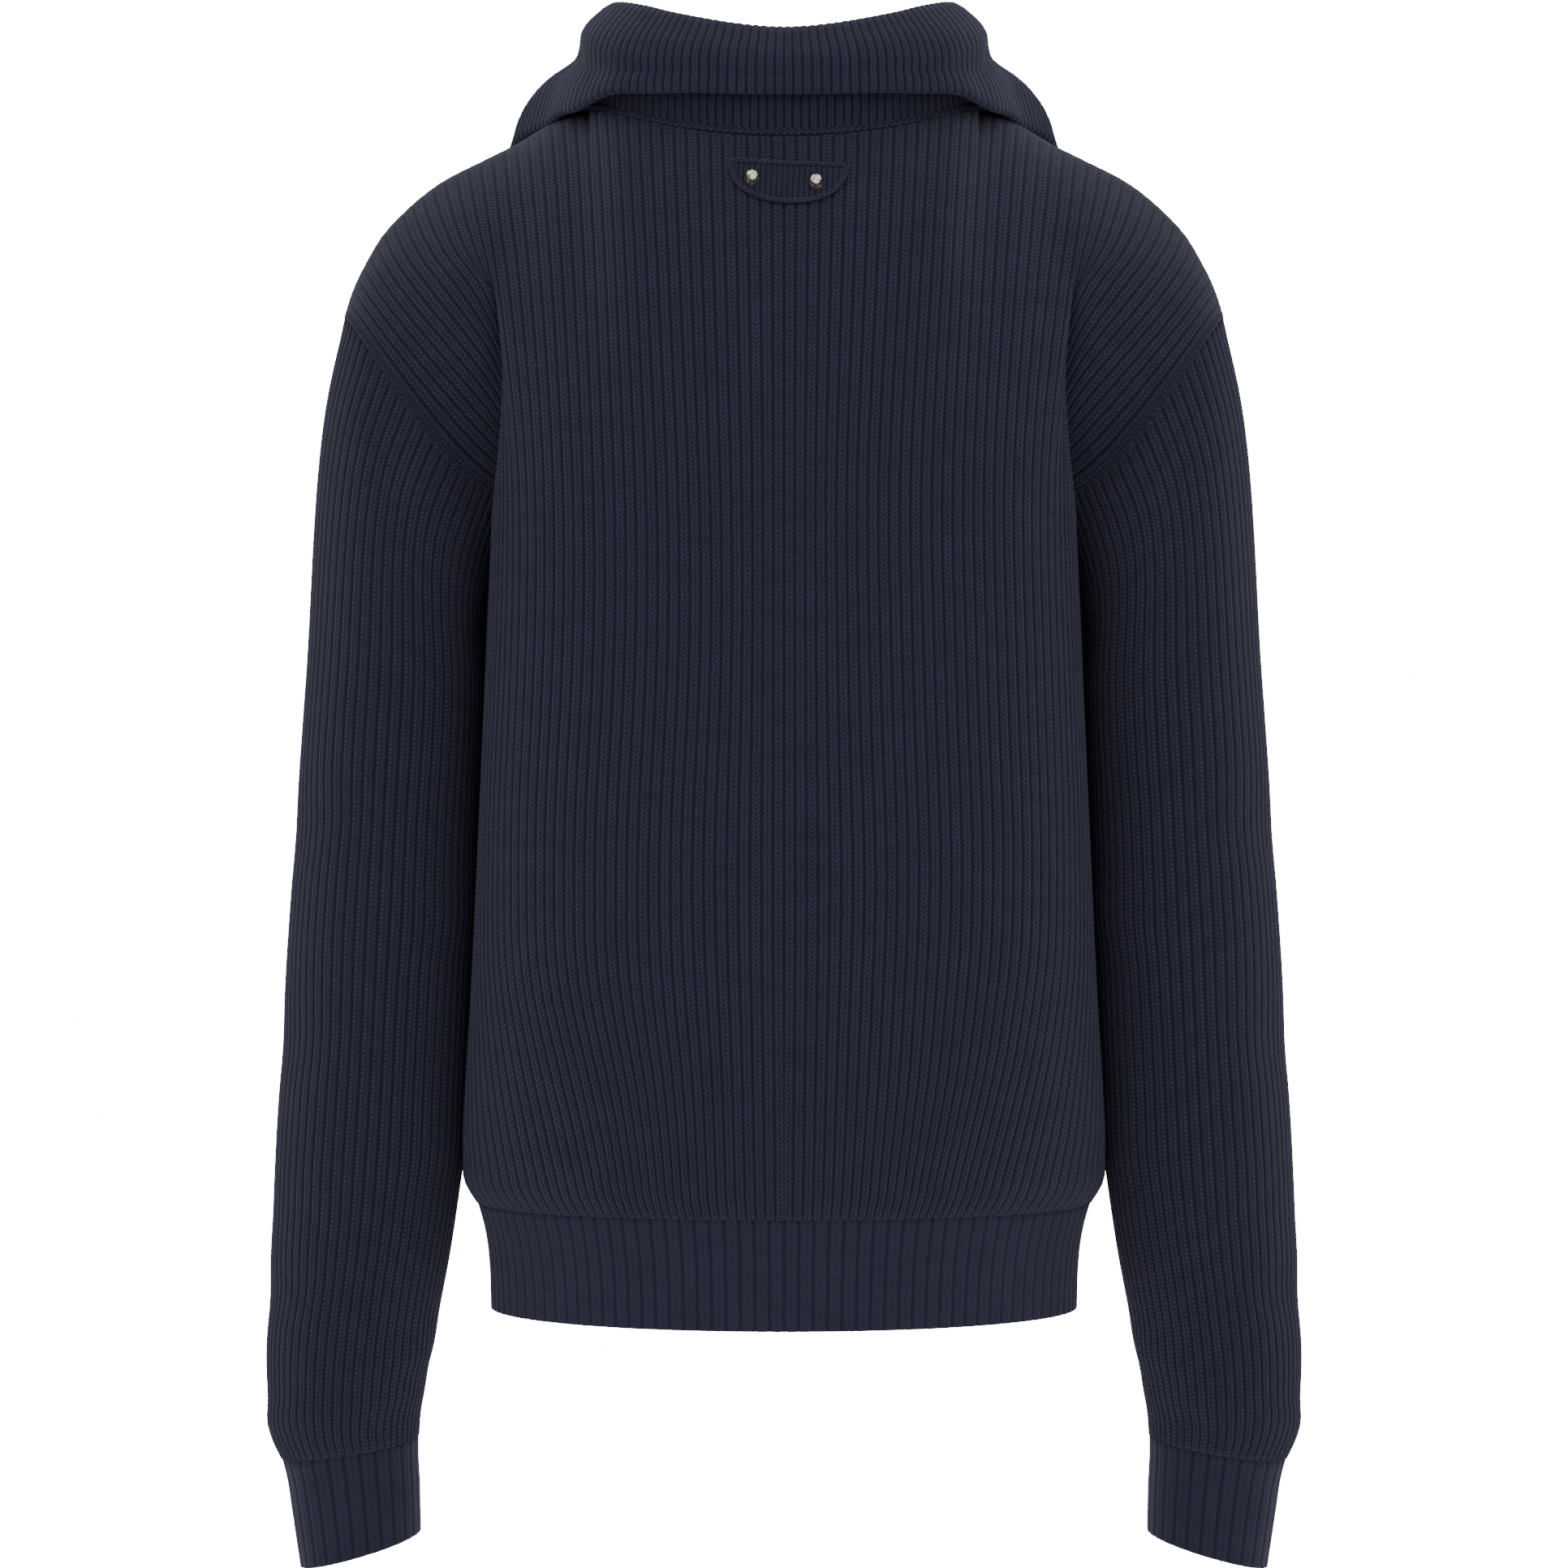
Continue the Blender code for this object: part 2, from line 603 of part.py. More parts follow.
def build_tab(finish):
    """The half-moon patch: straight on top, round below, with a thicker border."""
    points, lifted = [], []
    for j in range(TAB_COLUMNS + 1):
        across = math.sin((j / TAB_COLUMNS - 0.5) * math.pi * TAB_END)
        x = across * TAB_WIDTH / 2
        drop = TAB_HEIGHT * (1 - abs(across) ** TAB_ROUNDNESS) ** (1 / TAB_ROUNDNESS)
        for i in range(TAB_ROWS + 1):
            surface, normal = on_back(x, TAB_TOP_Z - drop * i / TAB_ROWS)
            rim = i in (0, TAB_ROWS) or j in (0, TAB_COLUMNS)
            points.append(surface + normal * TAB_LIFT)
            lifted.append(surface + normal * (TAB_LIFT + TAB_THICK + (0.0 if rim else -TAB_BORDER)))
    count = len(points)
    tall = TAB_ROWS + 1
    faces = []
    for j in range(TAB_COLUMNS):
        for i in range(TAB_ROWS):
            a, b, c, d = j * tall + i, (j + 1) * tall + i, (j + 1) * tall + i + 1, j * tall + i + 1
            faces.append((count + a, count + b, count + c, count + d))
            faces.append((a, d, c, b))
    border = [j * tall for j in range(TAB_COLUMNS + 1)]
    border += [TAB_COLUMNS * tall + i for i in range(1, tall)]
    border += [j * tall + TAB_ROWS for j in range(TAB_COLUMNS - 1, -1, -1)]
    border += list(range(TAB_ROWS - 1, 0, -1))
    for a, b in zip(border, border[1:] + border[:1]):
        faces.append((a, b, count + b, count + a))
    add_mesh("neck_tab", np.array(points + lifted), faces, finish)


def build_studs(finish):
    """Two faceted studs that stand on the tab."""
    for name, side in (("stud_left", 1), ("stud_right", -1)):
        surface, normal = on_back(side * STUD_HALF_SPACING, STUD_Z)
        foot = surface + normal * (TAB_LIFT + TAB_THICK - TAB_BORDER + SEAM_GAP)
        bpy.ops.mesh.primitive_cone_add(
            vertices=STUD_SIDES,
            radius1=STUD_BASE * MM,
            radius2=STUD_TOP * MM,
            depth=STUD_HEIGHT * MM,
            location=(foot + normal * STUD_HEIGHT / 2) * MM,
            rotation=Vector(normal).to_track_quat("Z", "Y").to_euler(),
        )
        adopt(name, finish)


def adopt(name, finish, collection=COLLECTION):
    """Names the new primitive, gives it its finish and moves it to its collection."""
    obj = bpy.context.object
    obj.name = name
    obj.data.materials.append(finish)
    for holder in list(obj.users_collection):
        holder.objects.unlink(obj)
    bpy.data.collections[collection].objects.link(obj)
    return obj


def on_front(z):
    """The front's outer surface at the centre line at a height in the slit."""
    steps = np.linspace(0.0, 1.0, CURVE_STEPS)
    line = np.array([yoke_point(0.0, step, False) for step in steps])
    below = np.array([[0.0, row[3], row[0]] for row in TORSO[:-1]])
    line = np.concatenate([below, line])
    return np.array([0.0, -np.interp(z, line[:, 2], line[:, 1]), z])


def tape_edges(collar, sign):
    """A tape's outer and inner edge: up the slit, then round the collar's front end."""
    top = -NECK_FRONT_DROP + TAPE_ABOVE_SEAM
    heights = np.linspace(SLIT_BOTTOM + TAPE_START, top, TAPE_STATIONS)
    chest = np.array([on_front(z) for z in heights]) + (0.0, TAPE_SINK, 0.0)
    knit_side = chest + (sign * (SLIT_HALF_WIDTH - SEAM_GAP), 0.0, 0.0)
    teeth_side = chest + (sign * (SLIT_HALF_WIDTH - SEAM_GAP - TAPE_WIDTH), 0.0, 0.0)
    end, before = (collar[:, -1], collar[:, -3]) if sign > 0 else (collar[:, 0], collar[:, 2])
    onward = unit(end - before)
    return (
        np.concatenate([knit_side, (end + onward * TAPE_GAP)[1:]]),
        np.concatenate([teeth_side, (end + onward * (TAPE_GAP + TAPE_WIDTH))[1:]]),
    )


def build_tapes(collar, finish):
    """Both zip tapes, each a ribbon of even thickness."""
    for name, sign in (("zip_tape_left", 1), ("zip_tape_right", -1)):
        knit_side, teeth_side = tape_edges(collar[0], sign)
        grid = np.stack([knit_side, (knit_side + teeth_side) / 2, teeth_side], axis=1)
        normals = normals_of(grid, ring=False, flip=sign < 0)
        grid = grid + normals * TAPE_THICK / 2
        keep = (list(range(len(grid))), [0, 2])
        add_wall(name, grid, normals, (TAPE_THICK, 0.0), keep, finish, flip=sign < 0)


def zip_frame():
    """Where the slider sits on the chest, and how far the chest leans out there."""
    place = on_front(SLIDER_Z)
    above, below = on_front(SLIDER_Z + LEAN_SPAN), on_front(SLIDER_Z - LEAN_SPAN)
    return place, math.atan2(above[1] - below[1], above[2] - below[2])


def add_block(name, size, centre, edge, finish, collection=COLLECTION):
    """A block with rounded edges, placed in the leaning frame of the zip."""
    place, lean = zip_frame()
    bpy.ops.mesh.primitive_cube_add(size=1.0)
    obj = adopt(name, finish, collection)
    obj.data.transform(Matrix.Diagonal((*(s * MM for s in size), 1.0)))
    turn = Matrix.Rotation(-lean, 4, "X")
    obj.location = (Vector(place) + turn @ Vector(centre)) * MM
    obj.rotation_euler = (-lean, 0.0, 0.0)
    if edge:
        bevel = obj.modifiers.new("edges", "BEVEL")
        bevel.width = edge * MM
        bevel.segments = 1
    return obj


def join(base, other, name):
    """Adds a helper's shape to a piece."""
    other.hide_render = True
    other.display_type = "WIRE"
    union = base.modifiers.new(name, "BOOLEAN")
    union.operation = "UNION"
    union.object = other


def build_slider(metal):
    """The slider's body and the two lugs that carry the pull tab."""
    face = TAPE_SINK - TAPE_THICK / 2 - SEAM_GAP - SLIDER_LIFT
    middle = (0.0, face - SLIDER_SIZE[1] / 2, 0.0)
    slider = add_block("zip_slider", SLIDER_SIZE, middle, SLIDER_EDGE, metal)
    reach = PULL_REACH + LUG_RADIUS
    for side in (-1, 1):
        centre = (side * LUG_X, face - SLIDER_SIZE[1] - reach / 2 + LUG_ROOT, PULL_AXIS_Z)
        size = (LUG_WIDTH, reach + 2 * LUG_ROOT, 2 * LUG_RADIUS)
        join(slider, add_block(f"lug_{side}", size, centre, 0.0, metal, "cutters"), f"lug_{side}")
    return face - SLIDER_SIZE[1] - PULL_REACH


def build_pull(axis_y, metal):
    """The pull tab, hanging from its barrel between the lugs, with its origin on the axis."""
    pull = add_block("pull_tab", PULL_SIZE, (0.0, axis_y, PULL_AXIS_Z), PULL_EDGE, metal)
    pull.data.transform(Matrix.Translation((0.0, 0.0, -(PULL_SIZE[2] / 2 + PULL_NECK) * MM)))
    neck_length = PULL_NECK + NECK_ROOT
    neck_size = (BARREL_LENGTH, NECK_THICK, neck_length)
    neck = add_block("pull_neck", neck_size, (0.0, axis_y, PULL_AXIS_Z), 0.0, metal, "cutters")
    neck.data.transform(Matrix.Translation((0.0, 0.0, -neck_length / 2 * MM)))
    join(pull, neck, "neck")
    place, lean = zip_frame()
    centre = Vector(place) + Matrix.Rotation(-lean, 4, "X") @ Vector((0.0, axis_y, PULL_AXIS_Z))
    bpy.ops.mesh.primitive_cylinder_add(
        vertices=BARREL_SIDES,
        radius=BARREL_RADIUS * MM,
        depth=BARREL_LENGTH * MM,
        location=centre * MM,
        rotation=(0.0, math.pi / 2, 0.0),
    )
    join(pull, adopt("pull_barrel", metal, "cutters"), "barrel")


def build_stop(metal):
    """The bottom stop, clamped across both tapes."""
    spot = on_front(SLIT_BOTTOM + STOP_SIZE[2])
    lift = TAPE_THICK / 2 - TAPE_SINK + SEAM_GAP + STOP_SIZE[1] / 2 + STOP_LIFT
    bpy.ops.mesh.primitive_cube_add(size=1.0)
    stop = adopt("zip_stop", metal)
    stop.data.transform(Matrix.Diagonal((*(s * MM for s in STOP_SIZE), 1.0)))
    stop.location = tuple(MM * value for value in spot - (0.0, lift, 0.0))
    bevel = stop.modifiers.new("edges", "BEVEL")
    bevel.width = STOP_EDGE * MM


def principled(name, colour, roughness, metallic=0.0):
    material = bpy.data.materials.new(name)
    material.use_nodes = True
    shader = material.node_tree.nodes["Principled BSDF"]
    shader.inputs["Base Color"].default_value = (*colour, 1.0)
    shader.inputs["Roughness"].default_value = roughness
    shader.inputs["Metallic"].default_value = metallic
    return material


def clear_scene():
    for obj in list(bpy.data.objects):
        bpy.data.objects.remove(obj, do_unlink=True)


def main():
    clear_scene()
    for name in (COLLECTION, "cutters"):
        collection = bpy.data.collections.new(name)
        bpy.context.scene.collection.children.link(collection)
    bpy.data.collections["cutters"].hide_render = True

    navy = (0.017, 0.021, 0.045)
    finishes = {
        name: principled(name, navy, 0.9)
        for name in ("back", "front", "sleeves", "cuffs", "waistband", "collar", "neck_tab")
    }
    tape = principled("zip_tapes", (0.010, 0.012, 0.022), 0.8)
    pewter = principled("studs", (0.30, 0.27, 0.23), 0.35, 1.0)
    slider_metal = principled("zip_slider", (0.33, 0.30, 0.26), 0.35, 1.0)
    pull_metal = principled("pull_tab", (0.33, 0.30, 0.26), 0.35, 1.0)
    stop_metal = principled("zip_stop", (0.33, 0.30, 0.26), 0.4, 1.0)

    _, back_grid, back_normals = build_panel("back", True, finishes["back"])
    front, front_grid, front_normals = build_panel("front", False, finishes["front"])
    cut_slit(front)
    back_edge, front_edge = (back_grid, back_normals), (front_grid, front_normals)
    build_sleeves(back_edge, front_edge, finishes["sleeves"])
    build_cuffs(finishes["cuffs"])
    build_waistband(finishes["waistband"])
    collar = build_collar(finishes["collar"])
    build_tab(finishes["neck_tab"])
    build_studs(pewter)
    build_tapes(collar, tape)
    axis_y = build_slider(slider_metal)
    build_pull(axis_y, pull_metal)
    build_stop(stop_metal)


if __name__ == "__main__":
    main()
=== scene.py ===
"""Looks of a half-zip sweater in chunky navy rib, filled out as it is worn.

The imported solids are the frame. Each knitted piece is a thin ribbed shell on the form of
its solid, with its stitches in the material. Sizes are in millimetres until a mesh is made.
"""

import logging
import math
from dataclasses import dataclass
from enum import Enum
from typing import Sequence

import bmesh
import bpy
import numpy as np
from mathutils import Matrix, Vector
from numpy.typing import NDArray


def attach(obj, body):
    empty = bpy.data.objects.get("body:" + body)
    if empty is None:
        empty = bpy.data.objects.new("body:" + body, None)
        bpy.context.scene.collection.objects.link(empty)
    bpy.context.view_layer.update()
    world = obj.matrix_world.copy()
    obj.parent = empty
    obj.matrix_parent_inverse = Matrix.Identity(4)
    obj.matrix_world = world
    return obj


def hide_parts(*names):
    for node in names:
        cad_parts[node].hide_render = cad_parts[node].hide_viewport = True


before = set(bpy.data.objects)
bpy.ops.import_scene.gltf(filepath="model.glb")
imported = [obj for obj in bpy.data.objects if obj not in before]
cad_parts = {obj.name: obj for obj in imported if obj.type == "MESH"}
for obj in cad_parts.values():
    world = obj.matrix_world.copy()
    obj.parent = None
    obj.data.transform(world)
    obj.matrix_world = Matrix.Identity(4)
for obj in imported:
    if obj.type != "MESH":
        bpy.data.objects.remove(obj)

Grid = NDArray[np.float64]
Row = tuple[float, ...]
Table = tuple[Row, ...]
Pair = tuple[float, float]
Triple = tuple[float, float, float]
Node = bpy.types.Node
Tree = bpy.types.NodeTree
Socket = bpy.types.NodeSocket
Material = bpy.types.Material
Piece = bpy.types.Object
MM = 0.001
TINY = 1e-9
MERGE = 1e-6
# how finely curves are drawn before they are read at even shares
QUARTER_STEPS = 481
NECK_STEPS = 361
CURVE_STEPS = 241
RING_STEPS = 721
GARMENT = "garment"
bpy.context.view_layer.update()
log = logging.getLogger("half_zip_sweater")


class Face(Enum):
    """Which torso panel a piece belongs to; the value is its side of the Y axis."""

    BACK = 1
    FRONT = -1


class Hand(Enum):
    """The wearer's side; the value is its side of the X axis."""

    LEFT = 1
    RIGHT = -1

    @property
    def word(self) -> str:
        """The side's name as nodes spell it."""
        return self.name.lower()


# ---------------------------------------------------------------- numbers


def unit(vectors: Grid) -> Grid:
    """Vectors at length one."""
    return vectors / (np.linalg.norm(vectors, axis=-1, keepdims=True) + TINY)


def smooth(value: Grid) -> Grid:
    """A soft step from 0 to 1 while the value goes from 0 to 1."""
    value = np.clip(value, 0.0, 1.0)
    return value * value * (3 - 2 * value)


def ramp(count: int) -> Grid:
    """Even shares from 0 to 1."""
    return np.linspace(0.0, 1.0, count)


def bell(value: Grid) -> Grid:
    """A bell curve of height one and of width one."""
    return np.exp(-(value**2))


def cubic(knots: Grid, values: Grid, slopes: Grid, at: Grid) -> Grid:
    """A cubic curve through values at knots.

    Args:
        knots: rising parameter of each row of values.
        values: one row for each knot, of any shape.
        slopes: how fast each row changes.
        at: parameters to read.

    Returns:
        One row for each parameter.
    """
    index = np.clip(np.searchsorted(knots, at, side="right") - 1, 0, len(knots) - 2)
    span = (knots[index + 1] - knots[index]).reshape((-1,) + (1,) * (values.ndim - 1))
    t = (np.asarray(at) - knots[index]).reshape(span.shape) / span
    head = (2 * t**3 - 3 * t**2 + 1) * values[index] + (t**3 - 2 * t**2 + t) * span * slopes[index]
    tail = (3 * t**2 - 2 * t**3) * values[index + 1]
    return head + tail + (t**3 - t**2) * span * slopes[index + 1]


def hermite(knots: Grid, values: Grid, at: Grid) -> Grid:
    """A smooth curve through values at knots."""
    values = np.asarray(values, float)
    return cubic(knots, values, np.gradient(values, knots, axis=0), at)


def calm_curve(knots: Grid, values: Grid, at: Grid) -> Grid:
    """Like hermite, but never beyond the values on either side."""
    rates = np.diff(values, axis=0) / np.diff(knots)[:, None]
    slopes = np.concatenate([rates[:1], np.zeros_like(rates[1:]), rates[-1:]])
    same = rates[:-1] * rates[1:] > 0
    mean = 2 * rates[:-1] * rates[1:] / np.where(same, rates[:-1] + rates[1:], 1.0)
    slopes[1:-1] = np.where(same, mean, 0.0)
    return cubic(knots, values, slopes, at)


def distances(points: Grid) -> Grid:
    """How far each point is from the first row, along its own column."""
    steps = np.linalg.norm(np.diff(points, axis=0), axis=-1)
    return np.concatenate([np.zeros_like(steps[:1]), np.cumsum(steps, axis=0)])


def lengths(grid: Grid) -> Grid:
    """Each row's distance from the first one, on average over the columns."""
    return distances(grid).mean(axis=1)


def along(points: Grid, shares: Grid) -> Grid:
    """Points at shares of the length of a polyline."""
    length = distances(points)
    at = np.asarray(shares) * length[-1]
    return np.stack([np.interp(at, length, points[:, k]) for k in range(3)], axis=-1)


def even_rows(grid: Grid, shares: Grid) -> Grid:
    """Each column's points again, at shares of the column's own length."""
    return np.stack([along(grid[:, j], shares) for j in range(grid.shape[1])], axis=1)


def loft(rings: Grid, shares: Grid) -> Grid:
    """Rows at shares of the way along a smooth surface through a few rings."""
    knots = lengths(rings)
    return hermite(knots, rings, knots[-1] * shares)


def mirrored(line: Grid, axis: int) -> Grid:
    """A line on the other side of the body along one axis, from its end to its start."""
    flip = np.ones(3)
    flip[axis] = -1.0
    return (line * flip)[::-1]


def other_side(grid: Grid) -> Grid:
    """The same grid on the other side of the body, with its columns the other way round."""
    return (grid * (-1, 1, 1))[:, ::-1]


def slide(grid: Grid, shift: Grid) -> Grid:
    """A grid whose columns have moved along their rows, and so stay on its surface.

    Args:
        grid: points by row and column.
        shift: how many columns each point moves.

    Returns:
        The grid after the move.
    """
    columns = np.arange(grid.shape[1])
    rows = [
        [np.interp(columns + move, columns, row[:, k]) for k in range(3)]
        for row, move in zip(grid, shift)
    ]
    return np.array(rows).transpose(0, 2, 1)


def bezier(start: Grid, leave: Grid, arrive: Grid, end: Grid, steps: Grid) -> Grid:
    """Cubic curves side by side: one row for each step, one column for each curve."""
    t = np.asarray(steps)[:, None, None]
    s = 1 - t
    return s**3 * start + 3 * s * s * t * leave + 3 * s * t * t * arrive + t**3 * end


def blur_columns(grid: Grid, radius: int) -> Grid:
    """A grid averaged along its columns' direction, with its ends carried straight on."""
    width = 2 * radius + 1
    weights = np.hanning(width + 2)[1:-1]
    weights /= weights.sum()
    low = 2 * grid[:, :1] - grid[:, radius:0:-1]
    high = 2 * grid[:, -1:] - grid[:, -2 : -radius - 2 : -1]
    wide = np.concatenate([low, grid, high], axis=1)
    return sum(weights[k] * wide[:, k : k + grid.shape[1]] for k in range(width))


def blur_rows(grid: Grid, radius: int) -> Grid:
    """A grid averaged along its rows' direction."""
    return blur_columns(grid.transpose(1, 0, 2), radius).transpose(1, 0, 2)


def normals_of(grid: Grid, ring: bool = False, flip: bool = False) -> Grid:
    """Unit normals of a grid of points.

    Args:
        grid: points by row and column.
        ring: whether the last column meets the first.
        flip: turns the normals round.

    Returns:
        One normal for each point.
    """
    if ring:
        wide = np.concatenate([grid[:, -2:-1], grid, grid[:, 1:2]], axis=1)
        across = np.gradient(wide, axis=1)[:, 1:-1]
    else:
        across = np.gradient(grid, axis=1)
    normal = unit(np.cross(across, np.gradient(grid, axis=0)))
    return -normal if flip else normal


# ---------------------------------------------------------------- finishes


def node_of(tree: Tree, kind: str, **settings: object) -> Node:
    """Adds a shader node and sets its properties."""
    made = tree.nodes.new(kind)
    for name, value in settings.items():
        setattr(made, name, value)
    return made


def put(node: Node, values: dict[str, object]) -> None:
    """Sets a node's own inputs."""
    for name, value in values.items():
        node.inputs[name].default_value = value


def add_noise(tree: Tree, vector: Socket, scale: float, detail: float) -> Socket:
    """A noise read at a vector, from 0 to 1."""
    made = node_of(tree, "ShaderNodeTexNoise")
    put(made, {"Scale": scale, "Detail": detail})
    tree.links.new(vector, made.inputs["Vector"])
    return made.outputs["Fac"]


def add_bump(tree: Tree, shader: Node, height: Socket, strength: float, depth: float) -> None:
    """Raises a shader's surface by a height whose full range is a depth in millimetres."""
    made = node_of(tree, "ShaderNodeBump")
    put(made, {"Strength": strength, "Distance": depth * MM})
    tree.links.new(height, made.inputs["Height"])
    tree.links.new(made.outputs["Normal"], shader.inputs["Normal"])


class Maths:
    """Writes arithmetic into a node tree, with sockets and numbers as its terms."""

    def __init__(self, tree: Tree) -> None:
        """Args:
            tree: where the nodes go.
        """
        self.tree = tree

    def do(self, operation: str, *terms: object, clamp: bool = False) -> Socket:
        """One Math node.

        Args:
            operation: the node's operation.
            terms: sockets or numbers.
            clamp: keeps the result between 0 and 1.

        Returns:
            The result's socket.
        """
        made = node_of(self.tree, "ShaderNodeMath", operation=operation, use_clamp=clamp)
        for socket, term in zip(made.inputs, terms):
            if isinstance(term, Socket):
                self.tree.links.new(term, socket)
            else:
                socket.default_value = float(term)
        return made.outputs[0]

    def add(self, first: object, second: object) -> Socket:
        """The sum of two terms."""
        return self.do("ADD", first, second)

    def less(self, first: object, second: object, clamp: bool = False) -> Socket:
        """The first term less the second."""
        return self.do("SUBTRACT", first, second, clamp=clamp)

    def times(self, first: object, second: object) -> Socket:
        """The product of two terms."""
        return self.do("MULTIPLY", first, second)

    def step(self, value: object, low: float, high: float) -> Socket:
        """A soft step from 0 at low to 1 at high."""
        made = node_of(self.tree, "ShaderNodeMapRange", interpolation_type="SMOOTHSTEP")
        self.tree.links.new(value, made.inputs["Value"])
        put(made, {"From Min": low, "From Max": high})
        return made.outputs["Result"]

    def off_middle(self, share: Socket) -> Socket:
        """How far a share is from one half: 0 in the middle, 1 at both ends."""
        return self.times(self.do("ABSOLUTE", self.less(share, 0.5)), 2.0)


@dataclass(frozen=True)
class StitchShape:
    """One knit stitch, measured in half rib widths across and in stitches up."""

    # scale and detail of the yarn's wandering and of its uneven tone
    wander_noise: Pair = (0.45, 3.0)
    tone_noise: Pair = (0.23, 6.0)
    # how far the wandering moves a stitch across and up
    drift: Pair = (0.5, 2.4)
    # how the legs of the V curve, and how round they are
    climb_power: float = 1.25
    leg_power: float = 1.6
    # how high the yarn is in the middle of the V, and where it has its full height
    notch: Pair = (0.3, 0.34)
    # where the stitch begins to fade and is gone, and where the groove's painted shade begins and is
    # full
    rim: Pair = (0.62, 1.25)
    groove: Pair = (0.8, 1.5)
    # how high the cloth stands between the legs
    purl: float = 0.2

    def group(self) -> Tree:
        """The shared effect of knit stitches: a chain of V-shaped loops up the middle of each rib.

        Returns:
            A group that reads a rib's UV (x counts ribs, y counts stitches) and puts out the
            height of the yarn, how deep in the groove a place is, and the yarn's uneven tone.
        """
        name = "knit_stitches"
        if name in bpy.data.node_groups:
            return bpy.data.node_groups[name]
        tree = bpy.data.node_groups.new(name, "ShaderNodeTree")
        face = tree.interface
        face.new_socket("UV", in_out="INPUT", socket_type="NodeSocketVector")
        for label, value in (("Slope", 0.6), ("Width", 0.62), ("Flatness", 0.0), ("Wander", 0.3)):
            socket = face.new_socket(label, in_out="INPUT", socket_type="NodeSocketFloat")
            socket.default_value = value
        for label in ("Height", "Groove", "Tone"):
            face.new_socket(label, in_out="OUTPUT", socket_type="NodeSocketFloat")
        source = node_of(tree, "NodeGroupInput").outputs
        sink = node_of(tree, "NodeGroupOutput").inputs
        m = Maths(tree)
        split = node_of(tree, "ShaderNodeSeparateXYZ")
        tree.links.new(source["UV"], split.inputs[0])
        across, up = split.outputs[0], split.outputs[1]
        wander = add_noise(tree, source["UV"], *self.wander_noise)
        off = m.times(m.less(wander, 0.5), source["Wander"])
        own = node_of(tree, "ShaderNodeTexWhiteNoise", noise_dimensions="1D")
        tree.links.new(m.do("FLOOR", across), own.inputs["W"])
        share = m.do("FRACT", m.add(across, m.times(off, self.drift[0])))
        reach = m.do("DIVIDE", m.off_middle(share), source["Width"])
        climb = m.times(m.do("POWER", reach, self.climb_power), source["Slope"])
        moved = m.add(m.times(off, self.drift[1]), own.outputs["Value"])
        phase = m.do("FRACT", m.less(m.add(up, moved), climb))
        gap = m.do("POWER", m.off_middle(phase), self.leg_power)
        leg = m.less(1.0, gap, clamp=True)
        low, full = self.notch
        notch = m.add(low, m.times(m.step(reach, 0.0, full), 1.0 - low))
        rim = m.less(1.0, m.step(reach, *self.rim))
        height = m.times(m.times(leg, notch), rim)
        flat = m.times(rim, source["Flatness"])
        purl = m.times(m.less(1.0, leg), self.purl)
        tree.links.new(m.do("MAXIMUM", m.do("MAXIMUM", height, flat), purl), sink["Height"])
        # the groove mask, where the finish paints shade into the grooves
        tree.links.new(m.step(reach, *self.groove), sink["Groove"])
        tree.links.new(add_noise(tree, source["UV"], *self.tone_noise), sink["Tone"])
        return tree


def mix_colours(tree: Tree, amount: Socket, low: object, high: object) -> Socket:
    """Mixes two colours.

    Args:
        tree: where the node goes.
        amount: how much of the second colour.
        low: a colour or a socket.
        high: a colour or a socket.

    Returns:
        The mixed colour's socket.
    """
    made = node_of(tree, "ShaderNodeMix", data_type="RGBA", clamp_factor=True)
    tree.links.new(amount, made.inputs["Factor"])
    for socket, term in ((made.inputs["A"], low), (made.inputs["B"], high)):
        if isinstance(term, Socket):
            tree.links.new(term, socket)
        else:
            socket.default_value = (*term, 1.0)
    return made.outputs["Result"]


def new_material(name: str) -> tuple[Material, Tree, Node]:
    """A material, its tree and its Principled shader."""
    material = bpy.data.materials.new(name)
    material.use_nodes = True
    tree = material.node_tree
    return material, tree, tree.nodes["Principled BSDF"]


